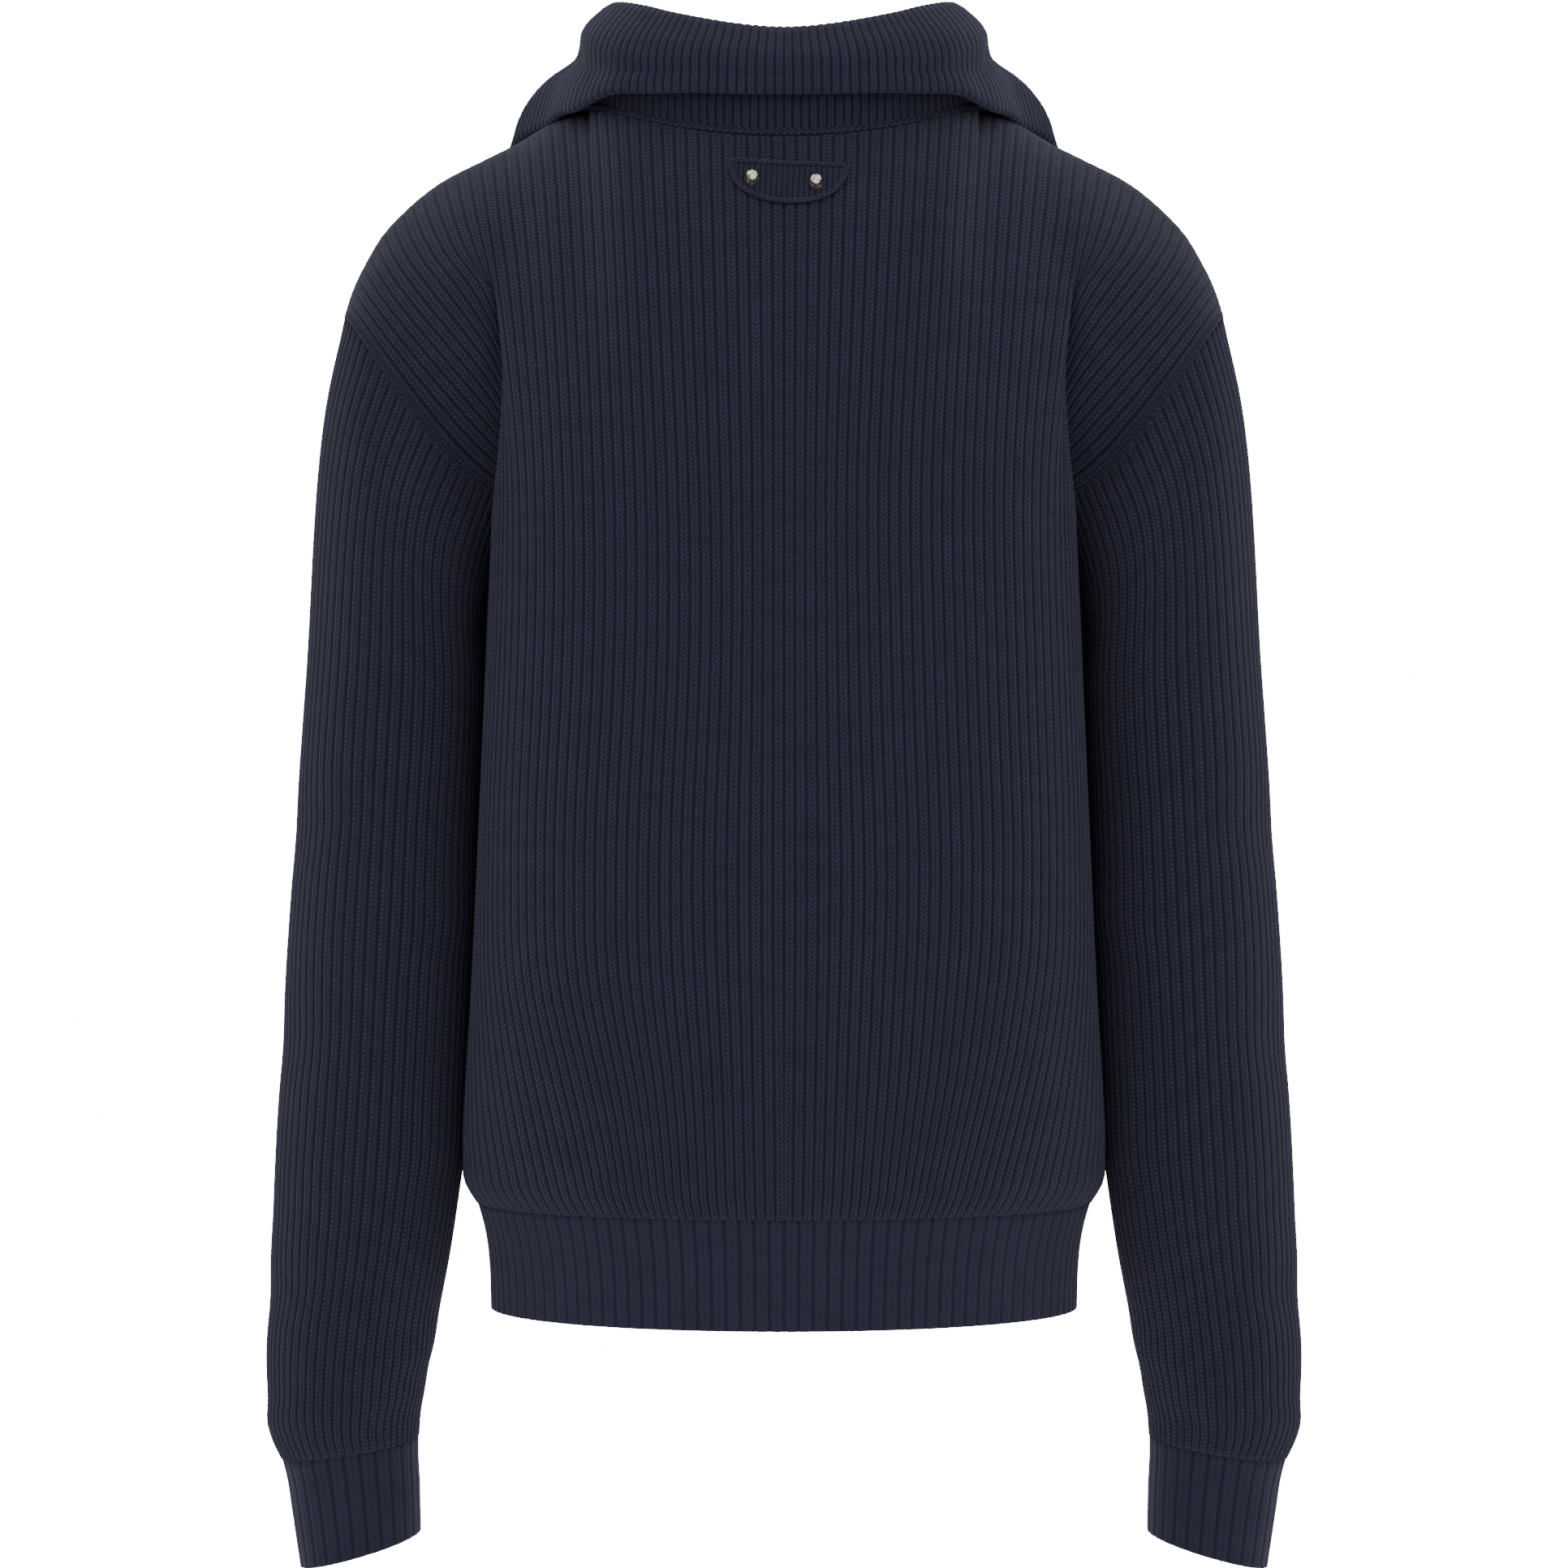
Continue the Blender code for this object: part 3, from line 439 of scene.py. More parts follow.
@dataclass(frozen=True)
class KnitFinish:
    """Cotton yarn knitted in ribs, with painted light on its raised stitches and painted shade where the
    yarn lies low and in the grooves.
    """

    name: str
    # crest: the colour where the yarn stands highest, painted lighter; the valley colour is painted
    # shade where the yarn lies low and in the grooves
    crest: Triple = (0.0180, 0.0178, 0.0390)
    painted_valley_shade: Triple = (0.0030, 0.0031, 0.0068)
    stitch_depth: float = 0.65
    slope: float = 0.9
    width: float = 0.78
    flatness: float = 0.0
    # how much painted shade darkens the grooves
    groove_shade: float = 0.2
    # how light the yarn is where its tone is lowest, and how much the tone adds
    tone: Pair = (0.45, 0.9)
    # scale and detail of the fuzz, and how much it tints the yarn, also where that lies low
    fuzz: Pair = (2100.0, 3.0)
    fuzz_colour: Pair = (0.7, 0.35)
    fuzz_height: float = 0.3
    roughness: float = 0.95
    specular: float = 0.12
    sheen: float = 0.07
    sheen_roughness: float = 0.55
    sheen_tint: tuple[float, float, float, float] = (0.6, 0.6, 0.82, 1.0)

    def material(self) -> Material:
        """The finish as a material that reads the piece's rib UV."""
        material, tree, shader = new_material(self.name)
        m = Maths(tree)
        uv = node_of(tree, "ShaderNodeUVMap", uv_map="rib")
        stitches = node_of(tree, "ShaderNodeGroup", node_tree=StitchShape().group())
        tree.links.new(uv.outputs["UV"], stitches.inputs["UV"])
        put(stitches, {"Slope": self.slope, "Width": self.width, "Flatness": self.flatness})
        height, groove, tone = (stitches.outputs[label] for label in ("Height", "Groove", "Tone"))
        place = node_of(tree, "ShaderNodeTexCoord")
        fuzz = add_noise(tree, place.outputs["Object"], *self.fuzz)
        low, gain = self.tone
        # painted light and shade: the colour follows the yarn's height, lighter on the raised stitches
        # and darker where the yarn lies low
        lit = m.times(height, m.add(low, m.times(tone, gain)))
        much, hollow = self.fuzz_colour
        hair = m.times(m.less(fuzz, 0.5), much)
        yarn = m.add(lit, m.times(hair, m.add(height, hollow)))
        # painted shade in the grooves
        dark = m.less(yarn, m.times(groove, self.groove_shade), clamp=True)
        tree.links.new(mix_colours(tree, dark, self.painted_valley_shade, self.crest), shader.inputs["Base Color"])
        raised = m.add(height, m.times(fuzz, self.fuzz_height))
        add_bump(tree, shader, raised, 1.0, self.stitch_depth)
        put(shader, {
            "Roughness": self.roughness, "Specular IOR Level": self.specular,
            "Sheen Weight": self.sheen, "Sheen Roughness": self.sheen_roughness,
            "Sheen Tint": self.sheen_tint,
        })
        return material


@dataclass(frozen=True)
class MetalFinish:
    """Worn antique metal, darker in its hollows."""

    name: str
    bright: Triple = (0.50, 0.46, 0.40)
    dark: Triple = (0.13, 0.10, 0.075)
    roughness: float = 0.34
    # scale and detail of the wear, the values between which the metal brightens, and what it roughens
    wear: Pair = (420.0, 4.0)
    worn: Pair = (0.36, 0.62)
    wear_roughness: float = 0.2
    dent_strength: float = 0.25
    dent_depth: float = 0.1

    def material(self) -> Material:
        """The finish as a material on Object coordinates."""
        material, tree, shader = new_material(self.name)
        m = Maths(tree)
        wear = add_noise(tree, node_of(tree, "ShaderNodeTexCoord").outputs["Object"], *self.wear)
        colour = mix_colours(tree, m.step(wear, *self.worn), self.dark, self.bright)
        tree.links.new(colour, shader.inputs["Base Color"])
        rough = m.add(self.roughness, m.times(wear, self.wear_roughness))
        tree.links.new(rough, shader.inputs["Roughness"])
        put(shader, {"Metallic": 1.0})
        add_bump(tree, shader, wear, self.dent_strength, self.dent_depth)
        return material


@dataclass(frozen=True)
class TapeFinish:
    """Woven zip tape: a fine herringbone on the tape's own UV."""

    name: str
    light: Triple = (0.016, 0.019, 0.034)
    dark: Triple = (0.006, 0.007, 0.012)
    # how often the herringbone turns across the tape, and how many threads a width of it has
    zigs: float = 2.0
    threads: float = 3.0
    weave_strength: float = 0.8
    weave_depth: float = 0.2
    roughness: float = 0.75
    sheen: float = 0.1

    def material(self) -> Material:
        """The finish as a material."""
        material, tree, shader = new_material(self.name)
        m = Maths(tree)
        split = node_of(tree, "ShaderNodeSeparateXYZ")
        uv = node_of(tree, "ShaderNodeUVMap", uv_map="rib")
        tree.links.new(uv.outputs["UV"], split.inputs[0])
        zig = m.do("PINGPONG", m.times(split.outputs[0], self.zigs), 1.0)
        wave = m.do("FRACT", m.add(m.times(split.outputs[1], self.threads), zig))
        thread = m.less(1.0, m.off_middle(wave))
        tree.links.new(mix_colours(tree, thread, self.dark, self.light), shader.inputs["Base Color"])
        add_bump(tree, shader, thread, self.weave_strength, self.weave_depth)
        put(shader, {"Roughness": self.roughness, "Sheen Weight": self.sheen})
        return material


@dataclass(frozen=True)
class Finishes:
    """Every material of the garment, made once."""

    main: Material
    collar: Material
    band: Material
    tab: Material
    seam: Material
    tape: Material
    stud: Material
    zip_metal: Material

    @classmethod
    def make(cls) -> "Finishes":
        """Builds the materials."""
        # crest colours are painted light on the raised yarn, and valley colours are painted shade in its
        # hollows
        collar = KnitFinish(
            "collar_rib", crest=(0.0168, 0.0167, 0.0355), stitch_depth=0.3, width=0.75,
            flatness=0.45,
        )
        band = KnitFinish(
            "band_rib", crest=(0.0140, 0.0140, 0.0300), painted_valley_shade=(0.0046, 0.0047, 0.0100),
            stitch_depth=0.25, width=0.85, flatness=0.55, groove_shade=0.12,
        )
        return cls(
            main=KnitFinish("main_rib").material(),
            collar=collar.material(),
            band=band.material(),
            tab=KnitFinish("tab_knit", stitch_depth=0.3, width=0.7).material(),
            seam=KnitFinish("seam_yarn", stitch_depth=0.4, slope=1.0, groove_shade=0.1).material(),
            tape=TapeFinish("zip_tape").material(),
            stud=MetalFinish("stud_pewter").material(),
            zip_metal=MetalFinish("zip_pewter", roughness=0.3).material(),
        )


# ---------------------------------------------------------------- cloth


@dataclass(frozen=True)
class Rib:
    """How one rib stands up over its pitch."""

    groove: float
    columns: int
    crest: float
    stitch: float

    def sink(self, ribs: Grid) -> Grid:
        """How far the surface lies below the rib's crest.

        Args:
            ribs: position counted in ribs; whole numbers are grooves.

        Returns:
            The depth at each place.
        """
        side = np.abs(ribs - np.floor(ribs) - 0.5) * 2
        return self.groove * smooth((side - self.crest) / (1 - self.crest))


MAIN_RIB = Rib(groove=0.85, columns=6, crest=0.25, stitch=2.45)
COLLAR_RIB = Rib(groove=0.5, columns=5, crest=0.2, stitch=2.2)
BAND_RIB = Rib(groove=0.5, columns=8, crest=0.6, stitch=2.0)
TAB_RIB = Rib(groove=0.5, columns=6, crest=0.2, stitch=2.0)


def lay_grid(
    name: str, points: Grid, uvs: tuple[Grid, Grid], material: Material,
    ring: bool = False, tube: bool = False, flip: bool = False,
) -> Piece:
    """A mesh grid laid on rows and columns of points.

    Args:
        name: the piece's name.
        points: positions by row and column, in millimetres.
        uvs: the UV across for each column, and the UV up for each row or each point.
        material: its finish.
        ring: whether the last column lies on the first and is joined to it.
        tube: the same for rows.
        flip: turns the faces round.

    Returns:
        The new object, at the origin.
    """
    rows, columns = points.shape[0] - 1, points.shape[1] - 1
    bm = bmesh.new()
    bm.loops.layers.uv.new("rib")
    bmesh.ops.create_grid(bm, x_segments=columns, y_segments=rows, size=0.5, calc_uvs=True)
    mesh = bpy.data.meshes.new(name)
    bm.to_mesh(mesh)
    bm.free()
    place = np.empty(len(mesh.vertices) * 3, np.float32)
    mesh.vertices.foreach_get("co", place)
    place = place.reshape(-1, 3)
    j = np.rint((place[:, 0] + 0.5) * columns).astype(int)
    i = np.rint((place[:, 1] + 0.5) * rows).astype(int)
    mesh.vertices.foreach_set("co", (points[i, j] * MM).astype(np.float32).ravel())
    layer = mesh.uv_layers["rib"].uv
    flat = np.empty(len(layer) * 2, np.float32)
    layer.foreach_get("vector", flat)
    flat = flat.reshape(-1, 2)
    across, up = uvs
    if up.ndim == 1:
        up = np.broadcast_to(up[:, None], points.shape[:2])
    column = np.rint(flat[:, 0] * columns).astype(int)
    wide, tall = across[column], up[np.rint(flat[:, 1] * rows).astype(int), column]
    layer.foreach_set("vector", np.stack([wide, tall], axis=-1).astype(np.float32).ravel())
    if ring or tube or flip:
        bm = bmesh.new()
        bm.from_mesh(mesh)
        if ring or tube:
            bmesh.ops.remove_doubles(bm, verts=bm.verts, dist=MERGE)
        if flip:
            bmesh.ops.reverse_faces(bm, faces=bm.faces)
        bm.to_mesh(mesh)
        bm.free()
    mesh.shade_smooth()
    mesh.materials.append(material)
    made = bpy.data.objects.new(name, mesh)
    bpy.context.scene.collection.objects.link(made)
    return made


def thicken(piece: Piece, thick: float) -> None:
    """Gives an open sheet its thickness, inward, with a rim."""
    wall = piece.modifiers.new("thickness", "SOLIDIFY")
    wall.thickness = thick * MM
    wall.offset = -1.0
    wall.use_rim = True


def file_piece(piece: Piece, slot: str, *nodes: str) -> None:
    """Rides a piece on the garment and hides the nodes that it stands for."""
    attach(piece, GARMENT)
    if nodes:
        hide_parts(*nodes)


CHAIN_SIDES = 8
BEAD_ROWS = 5
BEAD_POWER = 1.5
CHAIN_TAPER = 0.004


def chain(
    name: str, path: Grid, lift: Grid, radius: float, bead: float, material: Material,
    flatten: float, swell: float,
) -> Piece:
    """A line of linked stitches: a tube that swells at each bead and closes at both ends.

    Args:
        name: the piece's name.
        path: points that it follows, in millimetres.
        lift: the surface's normal at each point.
        radius: half its width.
        bead: length of one bead.
        material: its finish.
        flatten: its height as a share of its width.
        swell: how much narrower it is between beads.

    Returns:
        The tube, at the origin.
    """
    beads = max(2, round(distances(path)[-1] / bead))
    shares = ramp(beads * BEAD_ROWS + 1)
    centre = along(path, shares)
    forward = unit(np.gradient(centre, axis=0))
    side = unit(np.cross(forward, unit(along(lift, shares))))
    facing = unit(np.cross(side, forward))
    phase = shares * beads
    size = radius * (1 - swell * np.abs(np.cos(math.pi * phase)) ** BEAD_POWER)
    size = size * (1 - bell(shares / CHAIN_TAPER)) * (1 - bell((1 - shares) / CHAIN_TAPER))
    turn = np.linspace(0.0, 2 * math.pi, CHAIN_SIDES + 1)[None, :, None]
    ring = np.cos(turn) * side[:, None] + np.sin(turn) * facing[:, None] * flatten
    points = centre[:, None] + ring * size[:, None, None]
    return lay_grid(name, points, (np.linspace(0, 2, CHAIN_SIDES + 1), phase), material, ring=True)


@dataclass(frozen=True)
class Knit:
    """One knitted piece: its plain surface at the crests, and how its ribs lie on it."""

    name: str
    surface: Grid
    normals: Grid
    ribs: Grid
    rib: Rib
    thick: float = 2.0
    ring: bool = False
    flip: bool = False
    relief: Grid | float = 1.0

    def build(self, material: Material) -> Piece:
        """Makes the ribbed sheet, with its ribs as high as its relief says.

        Args:
            material: its finish.

        Returns:
            The piece, with its thickness still a modifier.
        """
        sink = self.rib.sink(self.ribs)[None, :] * self.relief
        skin = self.surface - self.normals * sink[..., None]
        uvs = (self.ribs, distances(self.surface) / self.rib.stitch)
        piece = lay_grid(self.name, skin, uvs, material, ring=self.ring, flip=self.flip)
        thicken(piece, self.thick)
        return piece


def rib_columns(first: int, last: int, per_rib: int) -> Grid:
    """The rib count at each column from one rib to another."""
    return np.linspace(first, last, (last - first) * per_rib + 1)


def quarter(half_width: float, depth: float, z: float, squareness: float, shares: Grid) -> Grid:
    """A quarter of a squarish section, from its middle to its side, at shares of its length."""
    angle = np.linspace(0.0, math.pi / 2, QUARTER_STEPS)
    power = 2 / squareness
    x = half_width * np.sin(angle) ** power
    y = depth * np.cos(angle).clip(0.0) ** power
    return along(np.stack([x, y, np.full_like(x, z)], axis=-1), shares)


# ---------------------------------------------------------------- torso


@dataclass(frozen=True)
class Torso:
    """Both panels of the body, from the hem to the neck, shoulders and armholes."""

    ribs: int = 42
    neck_ribs: int = 17
    # height, half width, depth behind, depth in front, squareness of the section
    sections: Table = (
        (-612.3, 172.9, 114.2, 116.2, 2.15),
        (-606.0, 176.8, 115.4, 117.4, 2.22),
        (-598.0, 180.2, 116.8, 119.0, 2.3),
        (-575.0, 180.0, 118.6, 121.4, 2.48),
        (-551.0, 178.7, 119.0, 122.6, 2.64),
        (-500.0, 175.4, 118.0, 123.0, 2.9),
        (-440.0, 172.2, 116.6, 122.2, 3.15),
        (-365.0, 168.5, 115.0, 121.0, 3.5),
        (-235.0, 162.6, 112.0, 119.0, 3.8),
    )
    neck_half_width: float = 110.0
    neck_depth: Pair = (75.0, 95.0)
    neck_drop: Pair = (24.0, 80.0)
    neck_roundness: float = 2.2
    neck_bend: float = 2.15
    neck_even: float = 0.9
    ridge: tuple[Pair, ...] = (
        (110.0, 0.0),
        (118.0, -1.6),
        (127.0, -5.0),
        (137.0, -10.4),
        (149.0, -17.6),
        (167.0, -26.6),
        (196.0, -42.0),
        (213.0, -56.0),
        (226.0, -70.0),
        (234.5, -84.0),
        (241.5, -98.0),
        (247.0, -115.0),
    )
    # share of the half panel, then how a rib rises and leans as it leaves the chest, and how
    # far out, low and inset it arrives at its top
    yoke_back: Table = (
        (0.00, 70.0, 5.0, 27.0, 40.0, 0.0),
        (0.30, 75.0, 4.0, 52.0, 26.0, 2.0),
        (0.41, 80.0, 2.0, 74.0, 12.0, 4.0),
        (0.60, 75.0, -2.0, 70.0, 28.0, 6.0),
        (0.72, 60.0, 4.0, 66.0, 32.0, 8.0),
        (0.85, 42.0, 22.0, 66.0, 30.0, 9.0),
        (1.00, 13.0, 50.0, 68.0, 6.0, 11.0),
    )
    yoke_front: Table = (
        (0.00, 60.0, 5.0, 16.0, 38.0, 0.0),
        (0.30, 70.0, 3.0, 44.0, 30.0, 2.0),
        (0.41, 80.0, 0.0, 74.0, 14.0, 4.0),
        (0.60, 75.0, -4.0, 70.0, 28.0, 6.0),
        (0.72, 60.0, 3.0, 66.0, 32.0, 8.0),
        (0.85, 42.0, 22.0, 66.0, 30.0, 9.0),
        (1.00, 13.0, 50.0, 68.0, 6.0, 11.0),
    )
    # the lip beside the upper arm, and the tuck behind it, from its top to the armhole
    lip: Pair = (0.615, 0.68)
    # how much wider the lip gets toward its top, from where, over how much, and the inner part of it
    lip_spread: Row = (0.2, 0.5, 0.3, 0.6)
    tuck_first: float = 0.64
    tuck_x: Pair = (155.0, 157.0)
    tuck_z: Pair = (-106.0, -218.0)
    tuck_depth: Triple = (3.5, 39.5, 18.0)
    tuck_angle: Triple = (80.0, -32.0, -40.0)
    tuck_reach: Pair = (12.0, 30.0)
    tuck_lift: float = 0.3
    tuck_leave: float = 0.45
    # powers of how the tuck's depth grows, early and late, and of how its angle turns at its end
    tuck_powers: Triple = (0.8, 3.0, 6.0)
    edge_steps: int = 121
    yoke_steps: int = 41
    seam_gap: float = 0.3
    slit_half_width: float = 6.2
    slit_bottom: float = -233.0
    lower_rows: int = 50
    yoke_rows: int = 36
    # how much closer the lower rows lie near the hem
    row_crowding: float = 0.35
    # rounding of the chest row: rows blurred, the share across where it ends, and over how much
    chest_blur: int = 7
    chest_fade: Pair = (0.86, 0.2)
    # rounding of the neck point: columns blurred, its reach across, and how near the top it fades
    point_blur: int = 22
    point_reach: Pair = (0.12, 0.2)
    # bends of the ribs: by how many ribs, height of the wave's start, its length for one radian, its
    # shift with the side, then the middle and reach of the bend up the panel and across it
    bends: Table = (
        (0.30, -505.0, 33.0, 14.0 / 33.0, -530.0, 75.0, 0.42, 0.24),
        (0.34, -430.0, 47.0, 1.4, -430.0, 110.0, 0.0, math.inf),
        (0.22, -250.0, 60.0, -1.0, -260.0, 120.0, 0.0, math.inf),
    )
    # over how much of the half panel the bends fade at its side and at its middle
    bend_fades: Pair = (0.14, 0.2)
    # the ribs' lean above the hem: by how many ribs, its middle and reach across, its fade at the
    # side, the height where it starts, and over how much it grows
    hem_lean: Row = (4.4, 0.6, 0.32, 0.25, -455.0, 165.0)
    # folds: middle x and z, width, height up, how far out, and tilt
    folds_back: Table = (
        (-38.0, -568.0, 90.0, 12.0, 3.2, 0.10), (96.0, -546.0, 58.0, 15.0, 2.6, 0.16),
        (-118.0, -524.0, 46.0, 17.0, 2.4, -0.18), (34.0, -499.0, 82.0, 20.0, 1.7, 0.08),
        (-60.0, -470.0, 64.0, 26.0, -1.6, 0.12), (-72.0, -300.0, 70.0, 42.0, 1.5, 0.2),
        (84.0, -214.0, 56.0, 38.0, 1.7, -0.25), (104.0, -395.0, 40.0, 60.0, 1.4, 0.3),
    )
    folds_front: Table = (
        (46.0, -570.0, 84.0, 12.0, 3.4, -0.08), (-98.0, -552.0, 60.0, 15.0, 2.8, 0.14),
        (112.0, -520.0, 44.0, 18.0, 2.6, 0.2), (-30.0, -500.0, 76.0, 19.0, 1.9, 0.06),
        (58.0, -452.0, 60.0, 28.0, -1.8, -0.14), (-88.0, -310.0, 56.0, 44.0, 2.2, -0.3),
        (92.0, -292.0, 50.0, 40.0, 2.0, 0.32), (70.0, -190.0, 36.0, 46.0, -2.4, 0.5),
        (-68.0, -178.0, 34.0, 44.0, -2.2, -0.5),
    )
    # ribs beside each side edge over which the folds die out
    still_ribs: float = 6.0
    # where the ribs flatten: rows below the shoulder seam, rows above the hem, and the share across
    # where the hem's flat part starts and over how much it grows; then how much of a rib is lost
    flat_top_rows: int = 3
    flat_hem_rows: int = 6
    flat_hem_side: Pair = (0.4, 0.3)
    flatness: float = 0.85

    @property
    def chest(self) -> float:
        """The height where the yoke begins."""
        return self.sections[-1][0]

    @property
    def neck_share(self) -> float:
        """The share of the half panel that ends on the neck seam."""
        return self.neck_ribs / self.ribs

    def section(self, z: Grid) -> Grid:
        """The torso's half width, two depths and squareness at each height."""
        table = np.asarray(self.sections)
        return calm_curve(table[:, 0], table[:, 1:], z)

    def neck_line(self, face: Face, shares: Grid) -> Grid:
        """One panel's half of the neck seam, from its middle to the shoulder."""
        which = 0 if face is Face.BACK else 1
        depth, drop = self.neck_depth[which], self.neck_drop[which]
        angle = np.linspace(0.0, math.pi / 2, NECK_STEPS)
        x = self.neck_half_width * np.sin(angle) ** (2 / self.neck_roundness)
        y = depth * np.cos(angle).clip(0.0) ** (2 / self.neck_roundness)
        z = -drop * (1 - (x / self.neck_half_width) ** self.neck_bend)
        curve = np.stack([x, y, z], axis=-1)
        gone = distances(curve)
        even = np.interp(np.asarray(shares) * self.neck_half_width, x, gone / gone[-1])
        return along(curve, shares + (even - shares) * self.neck_even)

    def neck_half(self, count: int, end_x: float) -> Grid:
        """The neck seam's left half, from centre back round to a place beside the slit."""
        shares = ramp(count)
        ahead = mirrored(self.neck_line(Face.FRONT, shares), 1)[1:]
        return np.concatenate([self.neck_line(Face.BACK, shares), ahead[ahead[:, 0] > end_x]])

    def ridge_line(self, shares: Grid) -> Grid:
        """The shoulder's ridge, from the neck to the top of the armhole."""
        flat = np.asarray(self.ridge)
        corners = np.stack([flat[:, 0], np.zeros(len(flat)), flat[:, 1]], axis=-1)
        knots = distances(corners)
        return along(hermite(knots, corners, np.linspace(0.0, knots[-1], CURVE_STEPS)), shares)

    def top_line(self, face: Face, shares: Grid) -> Grid:
        """Where each rib ends: on the neck seam, or on the shoulder's ridge."""
        split = self.neck_share
        neck = self.neck_line(face, np.clip(shares / split, 0.0, 1.0))
        ridge = self.ridge_line(np.clip((shares - split) / (1 - split), 0.0, 1.0))
        return np.where((shares <= split)[:, None], neck, ridge)

    def ends(self, face: Face, shares: Grid) -> tuple[Grid, Grid, Grid, Grid]:
        """Where each rib leaves the chest and reaches its top, and the curve's two handles."""
        half_width, behind, ahead, squareness = self.section(np.array([self.chest]))[0]
        back = face is Face.BACK
        start = quarter(half_width, behind if back else ahead, self.chest, squareness, shares)
        top = self.top_line(face, shares)
        table = np.asarray(self.yoke_back if back else self.yoke_front)
        rise, lean, out, low, inset = hermite(table[:, 0], table[:, 1:], shares).T
        leave = np.stack([np.zeros_like(rise), lean, rise], axis=-1)
        return start, leave, top + np.stack([-inset, out, -low], axis=-1), top

    def open_yoke(self, face: Face, shares: Grid, steps: Grid) -> Grid:
        """The upper panel as one swell from the chest to its top."""
        start, leave, arrive, top = self.ends(face, shares)
        return bezier(start, start + leave, arrive, top, steps)

    def tucked_yoke(self, face: Face, shares: Grid, steps: Grid) -> Grid:
        """The upper panel beyond the lip: up the torso's side to the tuck, then out over the arm.

        Args:
            face: back or front.
            shares: how far out each rib is, from 0 to 1.
            steps: how far along each of the two curves a row is.

        Returns:
            Points by row and column.
        """
        start, leave, arrive, top = self.ends(face, shares)
        deep = np.clip((shares - self.tuck_first) / (1 - self.tuck_first), 0.0, 1.0)
        x = self.tuck_x[0] + (self.tuck_x[1] - self.tuck_x[0]) * deep
        z = self.tuck_z[0] + (self.tuck_z[1] - self.tuck_z[0]) * deep
        edge = self.open_yoke(face, np.array(self.lip[:1]), ramp(self.edge_steps))[:, 0]
        soon, late, end = self.tuck_powers
        least, more, last = self.tuck_depth
        y = np.interp(z, edge[:, 2], edge[:, 1]) - least - more * deep**soon - last * deep**late
        tuck = np.stack([x, y, z], axis=-1)
        first, more, last = self.tuck_angle
        turn = np.radians(first + more * deep + last * deep**end)
        outward = np.full_like(turn, self.tuck_lift)
        onward = unit(np.stack([np.cos(turn), outward, np.sin(turn)], axis=-1))
        before, after = self.tuck_reach
        inside = bezier(start, start + leave * self.tuck_leave, tuck - onward * before, tuck, steps)
        outside = bezier(tuck, tuck + onward * after, arrive, top, steps)
        return np.concatenate([inside, outside[1:]])

    def yoke(self, face: Face, shares: Grid, steps: Grid) -> Grid:
        """The upper panel, from the chest to its top, with y measured outward.

        Args:
            face: back or front.
            shares: how far out each rib is, from 0 to 1.
            steps: how far up each row is, as a share of its rib's length.

        Returns:
            Points by row and column.
        """
        fine = ramp(self.yoke_steps)
        plain = even_rows(self.open_yoke(face, shares, fine), steps)
        tucked = even_rows(self.tucked_yoke(face, shares, fine), steps)
        wider, start, over, inner = self.lip_spread
        spread = wider * smooth((steps[:, None] - start) / over)
        low, high = self.lip[0] - inner * spread, self.lip[1] + spread
        beyond = smooth((shares[None, :] - low) / (high - low))
        return plain + (tucked - plain) * beyond[..., None]

    def half_panel(self, face: Face, shares: Grid) -> Grid:
        """The left half of a panel, with y measured outward, before it is softened."""
        low = ramp(self.lower_rows + 1)
        risen = self.row_crowding * low**2 + (1 - self.row_crowding) * low
        heights = self.sections[0][0] + (self.chest - self.sections[0][0]) * risen
        rows = self.section(heights)
        which = 1 if face is Face.BACK else 2
        below = np.array(
            [quarter(row[0], row[which], z, row[3], shares) for row, z in zip(rows, heights)]
        )
        steps = ramp(self.yoke_rows + 1)[1:]
        above = self.yoke(face, shares, steps)
        return np.concatenate([below, above])

    def panel(self, face: Face) -> tuple[Grid, Grid, Grid]:
        """A panel's surface.

        Args:
            face: back or front.

        Returns:
            Its points, its normals and the rib count of each column.
        """
        ribs = rib_columns(-self.ribs, self.ribs, MAIN_RIB.columns)
        shares = np.abs(ribs) / self.ribs
        grid = self.half_panel(face, shares)
        grid[..., 0] *= np.sign(ribs) + (ribs == 0)
        grid = self.soften(grid, shares)
        grid = self.wave(self.sway(grid, ribs), ribs, face)
        grid[..., 1] = np.maximum(grid[..., 1], self.seam_gap / 2) * face.value
        normals = normals_of(grid, flip=face is Face.BACK)
        normals[-1, shares >= self.neck_share, 1] = 0.0
        normals[: self.lower_rows + 1, [0, -1], 1] = 0.0
        return grid, unit(normals), ribs

    def soften(self, grid: Grid, shares: Grid) -> Grid:
        """Rounds the chest row and the rib that meets the shoulder's neck point."""
        rows = np.arange(len(grid)) - self.lower_rows
        end, over = self.chest_fade
        near_chest = bell(rows / self.chest_blur)[:, None] * smooth((end - shares) / over)
        grid = grid + (blur_rows(grid, self.chest_blur) - grid) * near_chest[..., None]
        up = np.clip(rows / self.yoke_rows, 0.0, 1.0)
        across, below = self.point_reach
        near_point = bell((shares - self.neck_share) / across) * smooth((1.0 - up) / below)[:, None]
        return grid + (blur_columns(grid, self.point_blur) - grid) * near_point[..., None]

